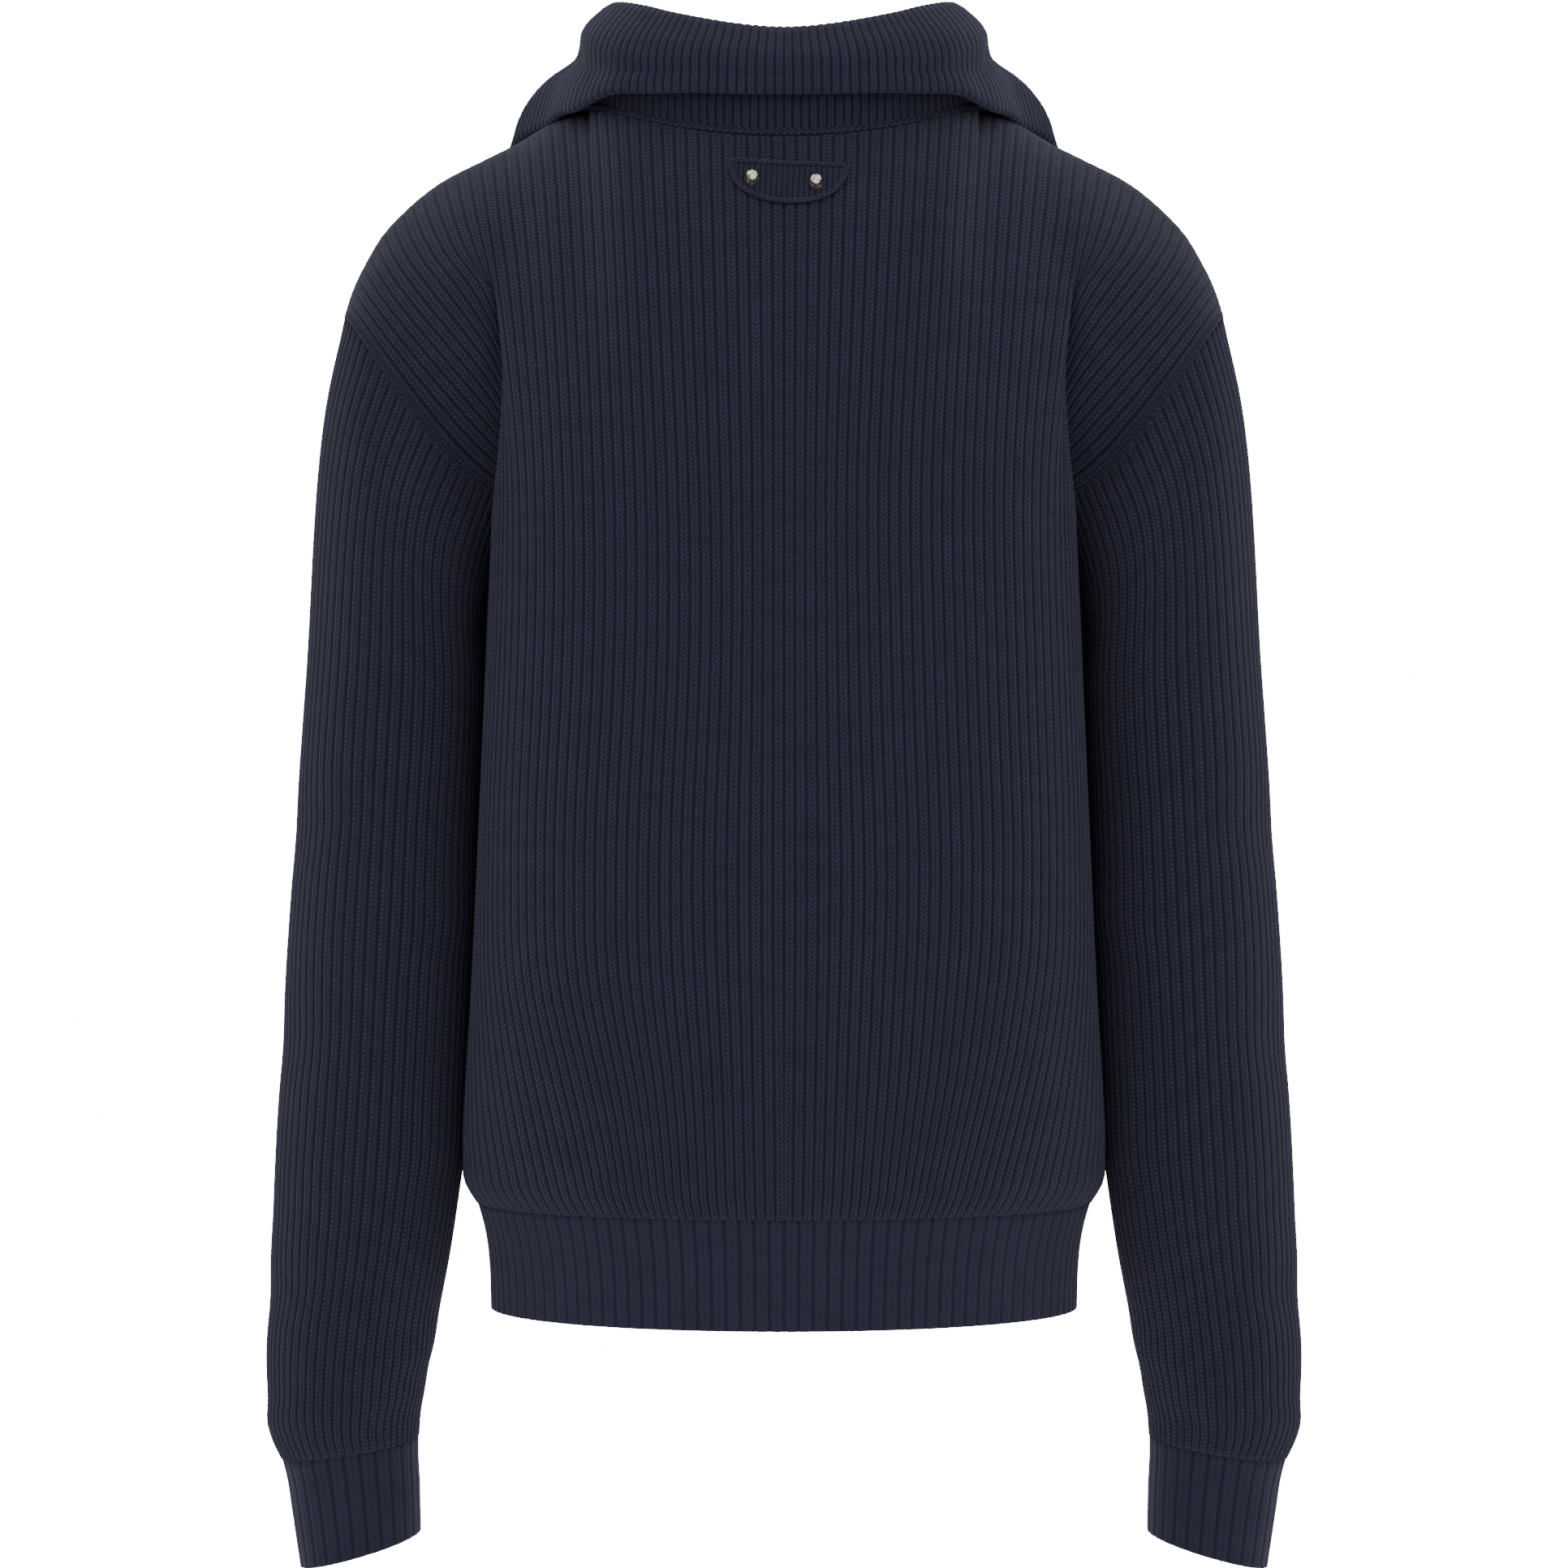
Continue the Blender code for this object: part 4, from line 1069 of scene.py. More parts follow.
    def sway(self, grid: Grid, ribs: Grid) -> Grid:
        """The ribs' soft bends and their lean toward the middle above the hem."""
        z = grid[..., 2]
        share, side = np.abs(ribs)[None, :] / self.ribs, np.sign(ribs)[None, :]
        bend = np.zeros(z.shape)
        for much, height, length, turn, middle, tall, across, wide in self.bends:
            wave = np.sin((z - height) / length + turn * side)
            bend += much * wave * bell((z - middle) / tall) * bell((share - across) / wide)
        side_fade, middle_fade = self.bend_fades
        free = smooth((1 - share) / side_fade) * smooth(share / middle_fade)
        much, across, wide, fade, start, over = self.hem_lean
        lean = -side * much * bell((share - across) / wide) * smooth((1 - share) / fade)
        return slide(grid, (bend * free + lean * smooth((start - z) / over)) * MAIN_RIB.columns)

    def wave(self, grid: Grid, ribs: Grid, face: Face) -> Grid:
        """Listed soft folds: the blousing above the hem and broad, shallow troughs."""
        x, z = grid[..., 0], grid[..., 2]
        inner = smooth((self.ribs - np.abs(ribs)) / self.still_ribs)[None, :]
        grid = grid.copy()
        folds = self.folds_back if face is Face.BACK else self.folds_front
        for cx, cz, wide, tall, height, lean in folds:
            tilt = lean * (x - cx)
            grid[..., 1] += height * bell((x - cx) / wide) * bell((z - cz - tilt) / tall) * inner
        return grid

    def relief(self, ribs: Grid) -> Grid:
        """How high the ribs stand: they flatten at the shoulder seam and at the hem's sides."""
        shares = np.abs(ribs) / self.ribs
        last = self.lower_rows + self.yoke_rows
        row = np.arange(last + 1)[:, None]
        top = smooth((row - last) / self.flat_top_rows + 1) * (shares >= self.neck_share)
        start, over = self.flat_hem_side
        hem = smooth(1 - row / self.flat_hem_rows) * smooth((shares - start) / over)
        return 1 - self.flatness * np.maximum(top, hem)

    def build(self, face: Face, finishes: Finishes) -> Grid:
        """Makes one panel.

        Args:
            face: back or front.
            finishes: the garment's materials.

        Returns:
            The panel's points, for the pieces that join it.
        """
        grid, normals, ribs = self.panel(face)
        name = face.name.lower()
        knit = Knit(
            f"{name}_knit", grid, normals, ribs, MAIN_RIB, flip=face is Face.BACK,
            relief=self.relief(ribs),
        )
        piece = knit.build(finishes.main)
        if face is Face.FRONT:
            self.cut_slit(piece)
        file_piece(piece, "main_rib", name)
        log.info("%s: %d ribs", piece.name, 2 * self.ribs)
        return grid

    def cut_slit(self, piece: Piece) -> None:
        """Opens the front's slit for the zip.

        Args:
            piece: the front panel.
        """
        bm = bmesh.new()
        bm.from_mesh(piece.data)
        edge, bottom = self.slit_half_width * MM, self.slit_bottom * MM
        cuts = (((edge, 0, 0), (1, 0, 0)), ((-edge, 0, 0), (1, 0, 0)), ((0, 0, bottom), (0, 0, 1)))
        for place, normal in cuts:
            near = [f for f in bm.faces if abs(f.calc_center_median().x) < 3 * edge]
            parts = {*near, *(e for f in near for e in f.edges), *(v for f in near for v in f.verts)}
            bmesh.ops.bisect_plane(bm, geom=list(parts), dist=MERGE, plane_co=place, plane_no=normal)
        middles = ((face, face.calc_center_median()) for face in bm.faces)
        gone = [face for face, middle in middles if abs(middle.x) < edge and middle.z > bottom]
        bmesh.ops.delete(bm, geom=gone, context="FACES")
        bm.to_mesh(piece.data)
        bm.free()

    def on_front(self, z: Grid) -> Grid:
        """The front's surface on the centre line at each height."""
        line = self.half_panel(Face.FRONT, np.array([0.0]))[:, 0]
        z = np.asarray(z, float)
        return np.stack([np.zeros_like(z), -np.interp(z, line[:, 2], line[:, 1]), z], axis=-1)


# ---------------------------------------------------------------- arms and bands


@dataclass(frozen=True)
class SideLines:
    """Both panels' left edges, from the hem to the shoulder, and their row at the chest."""

    back: Grid
    front: Grid
    chest_row: int

    def armhole(self) -> tuple[Grid, Grid]:
        """The back's and the front's edge of the left armhole, from the shoulder down."""
        return self.back[self.chest_row :][::-1], self.front[self.chest_row :][::-1]


def arm_ring(row: Sequence[float], count: int, roundness: float = 2.15) -> Grid:
    """A closed ring round the left arm, from its outer point round the back and the inside.

    Args:
        row: inner x and z, outer x and z, half depth and shift in y.
        count: columns; the last point repeats the first.
        roundness: 2 is an ellipse.

    Returns:
        The ring's points.
    """
    inner_x, inner_z, outer_x, outer_z, half_depth, centre_y = row
    inner, outer = np.array([inner_x, centre_y, inner_z]), np.array([outer_x, centre_y, outer_z])
    angles = np.linspace(0.0, 2 * math.pi, RING_STEPS)
    power = 2 / roundness
    reach = np.sign(np.cos(angles)) * np.abs(np.cos(angles)) ** power
    behind = np.sign(np.sin(angles)) * np.abs(np.sin(angles)) ** power
    deep = np.array([0.0, half_depth, 0.0])
    loop = (inner + outer) / 2 + reach[:, None] * (outer - inner) / 2 + behind[:, None] * deep
    return along(loop, ramp(count))


@dataclass(frozen=True)
class Sleeve:
    """One sleeve, from the armhole to the cuff."""

    hand: Hand
    ribs: int = 58
    # inner x and z, outer x and z, half depth, shift in y
    rings: Table = (
        (165.2, -262.0, 256.8, -163.0, 66.0, -3.0),
        (168.7, -335.0, 269.0, -318.0, 66.0, -6.0),
        (174.0, -460.0, 279.2, -460.0, 62.0, -9.0),
        (183.4, -612.0, 288.2, -614.0, 57.0, -12.0),
        (203.4, -720.0, 291.4, -726.0, 49.0, -14.0),
        (206.0, -738.0, 289.0, -748.5, 45.5, -14.0),
        (206.5, -747.0, 284.5, -758.5, 42.0, -14.0),
    )
    rows: int = 84
    # how much closer the rows lie near both ends, and the gap to the armhole
    row_crowding: float = 0.055
    armhole_gap: float = 0.4
    # how straight the ribs hang from the armhole: 1 is fully
    hang: float = 0.8
    # folds: height, angle round the arm, tall, wide, how far out
    folds: Table = (
        (-400.0, 1.2, 20.0, 0.9, -2.6), (-455.0, 2.2, 17.0, 1.0, 2.4), (-520.0, 0.9, 22.0, 0.8, -2.2),
        (-585.0, 1.9, 19.0, 0.9, 2.2), (-660.0, 1.0, 16.0, 1.0, -2.6), (-700.0, 2.4, 13.0, 0.9, 2.6),
        (-728.0, 1.3, 9.0, 1.3, 2.8), (-430.0, 4.4, 22.0, 0.9, -3.2), (-490.0, 5.1, 20.0, 0.8, 2.2),
        (-610.0, 4.2, 24.0, 0.9, -2.0), (-690.0, 4.9, 14.0, 1.1, -2.6),
    )
    fold_tilt: float = 9.0

    def above(self, seam: Grid, ring: Grid) -> Grid:
        """Points of half the armhole, from the shoulder down, that lie above a ring's points.

        Args:
            seam: half the armhole seam.
            ring: the back or front half of the first ring, from its outer point inward.

        Returns:
            One point for each of the ring's points, so that the ribs hang nearly straight.
        """
        gone = distances(seam)
        gone /= gone[-1]
        inward = np.maximum.accumulate(seam[0, 0] - seam[:, 0]) + gone
        wanted = (ring[0, 0] - ring[:, 0]) / (ring[0, 0] - ring[-1, 0]) * inward[-1]
        even = ramp(len(ring))
        straight = np.interp(wanted, inward, gone)
        return along(seam, even + (straight - even) * self.hang)

    def armhole(self, sides: SideLines, ring: Grid) -> Grid:
        """The armhole seam on the left, from the shoulder down the back and up the front.

        Args:
            sides: both panels' side edges.
            ring: the sleeve's first ring.

        Returns:
            One point for each of the ring's points.
        """
        behind, ahead = sides.armhole()
        behind = behind.copy()
        behind[-1, 1] = behind[0, 1] = 0.0
        half = (len(ring) - 1) // 2
        down = self.above(behind, ring[: half + 1])
        up = self.above(ahead, ring[half:][::-1])[::-1]
        closed = np.concatenate([down[:-1], up])
        closed[-1] = closed[0]
        return closed

    def surface(self, sides: SideLines) -> tuple[Grid, Grid, Grid]:
        """The left sleeve's surface.

        Args:
            sides: both panels' side edges.

        Returns:
            Its points, its normals and the rib count of each column.
        """
        ribs = rib_columns(0, self.ribs, MAIN_RIB.columns)
        rings = np.array([arm_ring(row, len(ribs)) for row in self.rings])
        loop = self.armhole(sides, rings[0])
        loop = loop + unit(rings[0] - loop) * self.armhole_gap
        even = ramp(self.rows + 1)
        shares = even - self.row_crowding * np.sin(2 * math.pi * even)
        grid = self.wave(loft(np.concatenate([loop[None], rings]), shares), ribs)
        return grid, normals_of(grid, ring=True, flip=True), ribs

    def wave(self, grid: Grid, ribs: Grid) -> Grid:
        """Soft folds at the elbow and above the cuff."""
        turn = 2 * math.pi * ribs / self.ribs
        z = grid[..., 2]
        total = np.zeros(z.shape)
        for cz, angle, tall, wide, height in self.folds:
            off = np.abs((turn - angle + math.pi) % (2 * math.pi) - math.pi)[None, :]
            tilt = self.fold_tilt * np.sin(turn - angle)[None, :]
            total += height * bell((z - cz - tilt) / tall) * bell(off / wide)
        return grid + normals_of(grid, ring=True, flip=True) * total[..., None]

    def build(self, sides: SideLines, finishes: Finishes) -> None:
        """Makes the sleeve.

        Args:
            sides: both panels' side edges.
            finishes: the garment's materials.
        """
        grid, normals, ribs = self.surface(sides)
        if self.hand is Hand.RIGHT:
            grid, normals = other_side(grid), other_side(normals)
        name = f"sleeve_{self.hand.word}"
        knit = Knit(f"{name}_knit", grid, normals, ribs, MAIN_RIB, ring=True, flip=True)
        piece = knit.build(finishes.main)
        file_piece(piece, "main_rib", name)
        log.info("%s: %d ribs", piece.name, self.ribs)


@dataclass(frozen=True)
class Band:
    """The flat-ribbed waistband or a cuff."""

    name: str
    ribs: int
    flat: Pair
    flip: bool = False
    rows: int = 12
    lip: float = 1.6

    def build(self, control: Grid, finishes: Finishes) -> None:
        """Makes the band from a few closed rings, top first.

        Args:
            control: the rings' points.
            finishes: the garment's materials.
        """
        shares = ramp(self.rows + 1)
        shares[-2] = 1 - self.lip / lengths(control)[-1]
        grid = loft(control, shares)
        ribs = rib_columns(0, self.ribs, BAND_RIB.columns)
        normals = normals_of(grid, ring=True, flip=self.flip)
        knit = Knit(f"{self.name}_knit", grid, normals, ribs, BAND_RIB, ring=True, flip=self.flip)
        piece = knit.build(finishes.band)
        file_piece(piece, "band_rib", self.name)
        log.info("%s: %d ribs", piece.name, self.ribs)


@dataclass(frozen=True)
class Bands:
    """The waistband and both cuffs."""

    waist_ribs: int = 114
    cuff_ribs: int = 28
    # height, half width, depth behind, depth in front, squareness
    waist: Table = (
        (-611.0, 172.6, 113.8, 115.8, 2.15),
        (-625.0, 168.6, 113.2, 115.2, 2.12),
        (-635.0, 166.7, 112.6, 114.6, 2.1),
        (-650.0, 165.3, 112.0, 114.0, 2.08),
        (-672.0, 164.7, 111.4, 113.4, 2.05),
    )
    # inner x and z, outer x and z, half depth, shift in y
    cuff: Table = (
        (206.9, -746.2, 284.1, -757.6, 41.6, -14.0),
        (207.0, -757.0, 281.0, -769.5, 39.6, -14.0),
        (206.2, -773.0, 278.2, -788.0, 37.8, -14.0),
        (205.6, -801.0, 273.4, -820.0, 36.4, -14.0),
    )

    def waist_rings(self) -> Grid:
        """The waistband's rings, from the centre back round the left side."""
        shares = ramp(CURVE_STEPS)
        count = self.waist_ribs * BAND_RIB.columns + 1
        rings = []
        for z, half_width, behind, ahead, squareness in self.waist:
            back = quarter(half_width, behind, z, squareness, shares)
            front = mirrored(quarter(half_width, ahead, z, squareness, shares), 1)
            left = np.concatenate([back, front[1:]])
            loop = np.concatenate([left, mirrored(left, 0)[1:]])
            rings.append(along(loop, ramp(count)))
        return np.array(rings)

    def cuff_rings(self, hand: Hand) -> Grid:
        """One cuff's rings."""
        count = self.cuff_ribs * BAND_RIB.columns + 1
        rings = np.array([arm_ring(row, count) for row in self.cuff])
        return rings if hand is Hand.LEFT else other_side(rings)

    def build(self, finishes: Finishes) -> None:
        """Makes the three bands."""
        Band("waistband", self.waist_ribs, (0.89, 0.060)).build(self.waist_rings(), finishes)
        for hand in Hand:
            band = Band(f"cuff_{hand.word}", self.cuff_ribs, (0.23, 0.061), flip=True)
            band.build(self.cuff_rings(hand), finishes)


# ---------------------------------------------------------------- collar


@dataclass(frozen=True)
class Collar:
    """A doubled stand-and-fall collar, open at the front where the zip ends."""

    ribs: int = 70
    # share of the way from centre back to the front end, the fold on top, the free edge, belly
    sections: Table = (
        (0.00, 0.0, 79.0, 31.0, 0.0, 89.5, -3.0, 4.0),
        (0.20, 58.0, 66.0, 40.8, 69.5, 77.5, -0.5, 4.5),
        (0.29, 77.0, 50.5, 48.0, 97.0, 63.5, 0.5, 5.5),
        (0.36, 89.5, 32.0, 53.0, 114.0, 41.0, -4.0, 6.0),
        (0.42, 95.0, 14.0, 55.0, 124.5, 16.0, -3.0, 4.0),
        (0.47, 97.0, -2.0, 54.0, 133.0, -6.0, -5.5, 5.0),
        (0.53, 99.5, -22.0, 47.5, 144.0, -27.0, -6.5, 10.0),
        (0.60, 102.0, -43.0, 34.5, 154.5, -46.0, -13.0, 15.0),
        (0.76, 88.5, -85.0, 0.5, 146.0, -93.0, -59.5, 8.0),
        (0.90, 52.0, -107.0, -41.0, 121.0, -121.0, -96.0, 5.0),
        (1.00, 22.0, -114.0, -69.0, 92.0, -133.0, -120.0, 2.0),
    )
    roll: float = 8.0
    # share of the way round, how far down the fall, and depth of the crease under its rolled part
    crease: Table = (
        (0.00, 0.76, 1.2),
        (0.16, 0.78, 1.6),
        (0.28, 0.80, 3.0),
        (0.34, 0.74, 6.0),
        (0.42, 0.58, 7.5),
        (0.52, 0.44, 6.5),
        (0.62, 0.34, 3.5),
        (0.75, 0.30, 0.0),
    )
    # how wide the crease is behind, how much wider in front, and where it widens and over how much
    crease_width: Row = (0.06, 0.09, 0.2, 0.14)
    # how far the foot stands above the neck seam behind and in front, and where it starts to rise
    rise: Triple = (-1.2, 3.6, 0.25)
    inset: float = 2.2
    swell: float = 5.5
    front_end_x: float = 6.8
    half_thick: float = 2.8
    least_wall: float = 0.5
    seam_steps: int = 121
    across_rows: int = 30
    edge_rows: int = 4

    def controls(self, torso: Torso, shares: Grid) -> tuple[Grid, Grid]:
        """The rows that the collar's left half is drawn through.

        Args:
            torso: the body that it stands on.
            shares: each rib's share of the way from centre back to the front end.

        Returns:
            The rows, from the neck seam over the fold to the free edge, and which way is out.
        """
        seam = along(torso.neck_half(self.seam_steps, self.front_end_x), shares)
        table = np.asarray(self.sections)
        # the second row again on the other side keeps the curves level at centre back
        beyond = table[1] * (-1, -1, 1, 1, -1, 1, 1, 1)
        table = np.concatenate([beyond[None], table])
        rows = hermite(table[:, 0], table[:, 1:], shares)
        fold, edge, belly = rows[:, :3], rows[:, 3:6], rows[:, 6:7]
        behind, ahead, start = self.rise
        rise = behind + (ahead - behind) * smooth((shares - start) / (1 - start))
        inward = unit(seam * (-1, -1, 0))
        foot = seam + inward * self.inset + rise[:, None] * np.array([0.0, 0.0, 1.0])
        up = unit(fold - foot)
        out = unit((edge - fold) - ((edge - fold) * up).sum(axis=-1, keepdims=True) * up)
        centre = fold - up * self.roll
        stand_top, fall_top = centre - out * self.roll, centre + out * self.roll
        fall = (fall_top + edge) / 2 + out * belly
        stand = (foot + stand_top) / 2 + out * self.swell
        return np.stack([foot, stand, stand_top, fold, fall_top, fall, edge]), out

    def dent(self, shares: Grid, down: Grid) -> Grid:
        """How deep the crease is at each share down the fall, by row, and round it, by column."""
        table = np.asarray(self.crease)
        line, depth = (np.interp(shares, table[:, 0], table[:, k]) for k in (1, 2))
        behind, more, start, over = self.crease_width
        wide = behind + more * smooth((shares - start) / over)
        return depth * bell((down[:, None] - line) / wide) * (down[:, None] > 0)

    def middle(self, torso: Torso) -> Grid:
        """The collar's middle surface: rows from the seam over the fold to the free edge."""
        shares = ramp(self.ribs * COLLAR_RIB.columns + 1)
        control, out = self.controls(torso, shares)
        knots = lengths(control)
        at = np.linspace(0.0, knots[-1], self.across_rows + 1)
        fold = knots[3]
        dent = self.dent(shares, (at - fold) / (knots[-1] - fold))
        half = hermite(knots, control, at) - out * dent[..., None]
        return np.concatenate([other_side(half)[:, :-1], half], axis=1)

    def section_loop(self, middle: Grid) -> tuple[Grid, Grid]:
        """Both faces of the doubled collar and the round free edge between them.

        Args:
            middle: the middle surface.

        Returns:
            The closed section's rows of points, and which way each faces.
        """
        normals = normals_of(middle)
        onward = unit(middle[-1] - middle[-2])
        turns = np.linspace(0.0, math.pi, self.edge_rows + 2)[1:-1]
        round_edge = [math.cos(a) * normals[-1] + math.sin(a) * onward for a in turns]
        facing = np.concatenate([normals, round_edge, -normals[::-1], normals[:1]])
        base = np.concatenate([middle, [middle[-1]] * len(turns), middle[::-1], middle[:1]])
        return base + facing * self.half_thick, facing

    def build(self, torso: Torso, finishes: Finishes) -> Grid:
        """Makes the collar.

        Args:
            torso: the body that it stands on.
            finishes: the garment's materials.

        Returns:
            Its middle surface, for the zip.
        """
        middle = self.middle(torso)
        surface, facing = self.section_loop(middle)
        ribs = rib_columns(-self.ribs, self.ribs, COLLAR_RIB.columns)
        sink = COLLAR_RIB.sink(ribs)[None, :, None]
        skin = surface - facing * np.minimum(sink, self.half_thick - self.least_wall)
        uvs = (ribs, distances(surface) / COLLAR_RIB.stitch)
        piece = lay_grid("collar_knit", skin, uvs, finishes.collar, tube=True)
        close_ends(piece)
        file_piece(piece, "collar_rib", "collar")
        log.info("%s: %d ribs, doubled", piece.name, 2 * self.ribs)
        return middle


def close_ends(piece: Piece) -> None:
    """Fills a tube's open ends."""
    bm = bmesh.new()
    bm.from_mesh(piece.data)
    rims = [edge for edge in bm.edges if edge.is_boundary]
    bmesh.ops.holes_fill(bm, edges=rims, sides=0)
    bm.to_mesh(piece.data)
    bm.free()


# ---------------------------------------------------------------- seams


@dataclass(frozen=True)
class Seams:
    """Linked and sewn lines where the pieces join."""

    torso: Torso
    link: float = 4.0
    flatten: float = 0.75
    # radius, how far out of the cloth the line's middle is, and how much narrower between links
    neck_shape: Triple = (2.6, 1.2, 0.45)
    armhole_shape: Triple = (1.4, 0.1, 0.12)
    shoulder_shape: Triple = (1.5, -2.8, 0.15)
    side_shape: Triple = (1.4, -1.3, 0.15)
    neck_steps: int = 301
    neck_clear: float = 1.2
    neck_rise: float = 0.2
    # how much the neck's line faces up, and how much the armhole's line faces outward and up
    neck_tip: float = 0.5
    armhole_tip: Pair = (8.0, 10.0)
    # shares of the shoulder's ridge where its seam starts and ends, and its points
    shoulder_span: tuple[float, float, int] = (0.02, 0.99, 160)
    side_clear: int = 2

    def line(self, name: str, path: Grid, facing: Grid, shape: Triple, finishes: Finishes) -> None:
        """Adds one line of linking."""
        radius, _, swell = shape
        made = chain(name, path, facing, radius, self.link, finishes.seam, self.flatten, swell)
        file_piece(made, "main_rib")

    def neck(self, finishes: Finishes) -> None:
        """The bumpy linking between the neck and the collar, from one side of the zip round."""
        left = self.torso.neck_half(self.neck_steps, self.torso.slit_half_width + self.neck_clear)
        loop = np.concatenate([mirrored(left, 0)[:-1], left])
        outward = unit(loop * (1, 1, 0))
        loop = loop + outward * self.neck_shape[1] + np.array([0.0, 0.0, self.neck_rise])
        facing = unit(outward + np.array([0.0, 0.0, self.neck_tip]))
        self.line("neck_linking", loop, facing, self.neck_shape, finishes)

    def armhole(self, hand: Hand, sides: SideLines, finishes: Finishes) -> None:
        """The raised seam round one armhole."""
        behind, ahead = sides.armhole()
        loop = np.concatenate([behind[1:], ahead[::-1][1:-1]]) * (hand.value, 1, 1)
        aside, above = self.armhole_tip
        out = unit(loop - loop.mean(axis=0) + np.array([hand.value * aside, 0.0, above]))
        path = loop + out * self.armhole_shape[1]
        self.line(f"armhole_seam_{hand.word}", path, out, self.armhole_shape, finishes)

    def shoulder(self, hand: Hand, finishes: Finishes) -> None:
        """The seam along one shoulder's ridge."""
        ridge = self.torso.ridge_line(np.linspace(*self.shoulder_span)) * (hand.value, 1, 1)
        up = np.tile([0.0, 0.0, 1.0], (len(ridge), 1))
        path = ridge + up * self.shoulder_shape[1]
        self.line(f"shoulder_seam_{hand.word}", path, up, self.shoulder_shape, finishes)

    def side(self, hand: Hand, sides: SideLines, finishes: Finishes) -> None:
        """The seam down one side, from the armhole to the hem."""
        clear = self.side_clear
        line = sides.back[clear : sides.chest_row - clear] * (hand.value, 0, 1)
        out = np.tile([float(hand.value), 0.0, 0.0], (len(line), 1))
        path = line + out * self.side_shape[1]
        self.line(f"side_seam_{hand.word}", path, out, self.side_shape, finishes)

    def build(self, sides: SideLines, finishes: Finishes) -> None:
        """Makes every seam.

        Args:
            sides: both panels' side edges.
            finishes: the garment's materials.
        """
        self.neck(finishes)
        for hand in Hand:
            self.armhole(hand, sides, finishes)
            self.shoulder(hand, finishes)
            self.side(hand, sides, finishes)
        log.info("seams: neck, armholes, shoulders and sides")


# ---------------------------------------------------------------- neck tab


class BackMap:
    """Reads the back panel's surface near the neck by place, as seen from behind."""

    # the heights that it knows and the rows between them, columns to each side, and a slope's reach
    low: float = -100.0
    high: float = -27.0
    levels: int = 110
    reach: int = 90
    near: float = 1.5

    def __init__(self, panel: Grid) -> None:
        """Args:
            panel: the back's points.
        """
        heights = np.linspace(self.low, self.high, self.levels)
        middle = panel.shape[1] // 2
        columns = panel[:, middle - self.reach : middle + self.reach + 1].transpose(1, 0, 2)
        self.x = np.array([np.interp(heights, column[:, 2], column[:, 0]) for column in columns]).T
        self.y = np.array([np.interp(heights, column[:, 2], column[:, 1]) for column in columns]).T

    def depth(self, x: Grid, z: Grid) -> Grid:
        """How far back the surface is at each place."""
        level = (np.asarray(z) - self.low) / (self.high - self.low) * (self.levels - 1)
        first = np.clip(np.floor(level).astype(int), 0, self.levels - 2)
        read = [
            np.interp(a, self.x[i], self.y[i]) * (1 - t) + np.interp(a, self.x[i + 1], self.y[i + 1]) * t
            for a, i, t in zip(np.ravel(x), np.ravel(first), np.ravel(level - first))
        ]
        return np.array(read).reshape(np.shape(x))

    def place(self, x: Grid, z: Grid) -> tuple[Grid, Grid]:
        """Points on the surface and its outward normals."""
        x, z = np.broadcast_arrays(np.asarray(x, float), np.asarray(z, float))
        near = self.near
        slope_x = (self.depth(x + near, z) - self.depth(x - near, z)) / (2 * near)
        slope_z = (self.depth(x, z + near) - self.depth(x, z - near)) / (2 * near)
        normal = unit(np.stack([-slope_x, np.ones_like(x), -slope_z], axis=-1))
        return np.stack([x, self.depth(x, z), z], axis=-1), normal


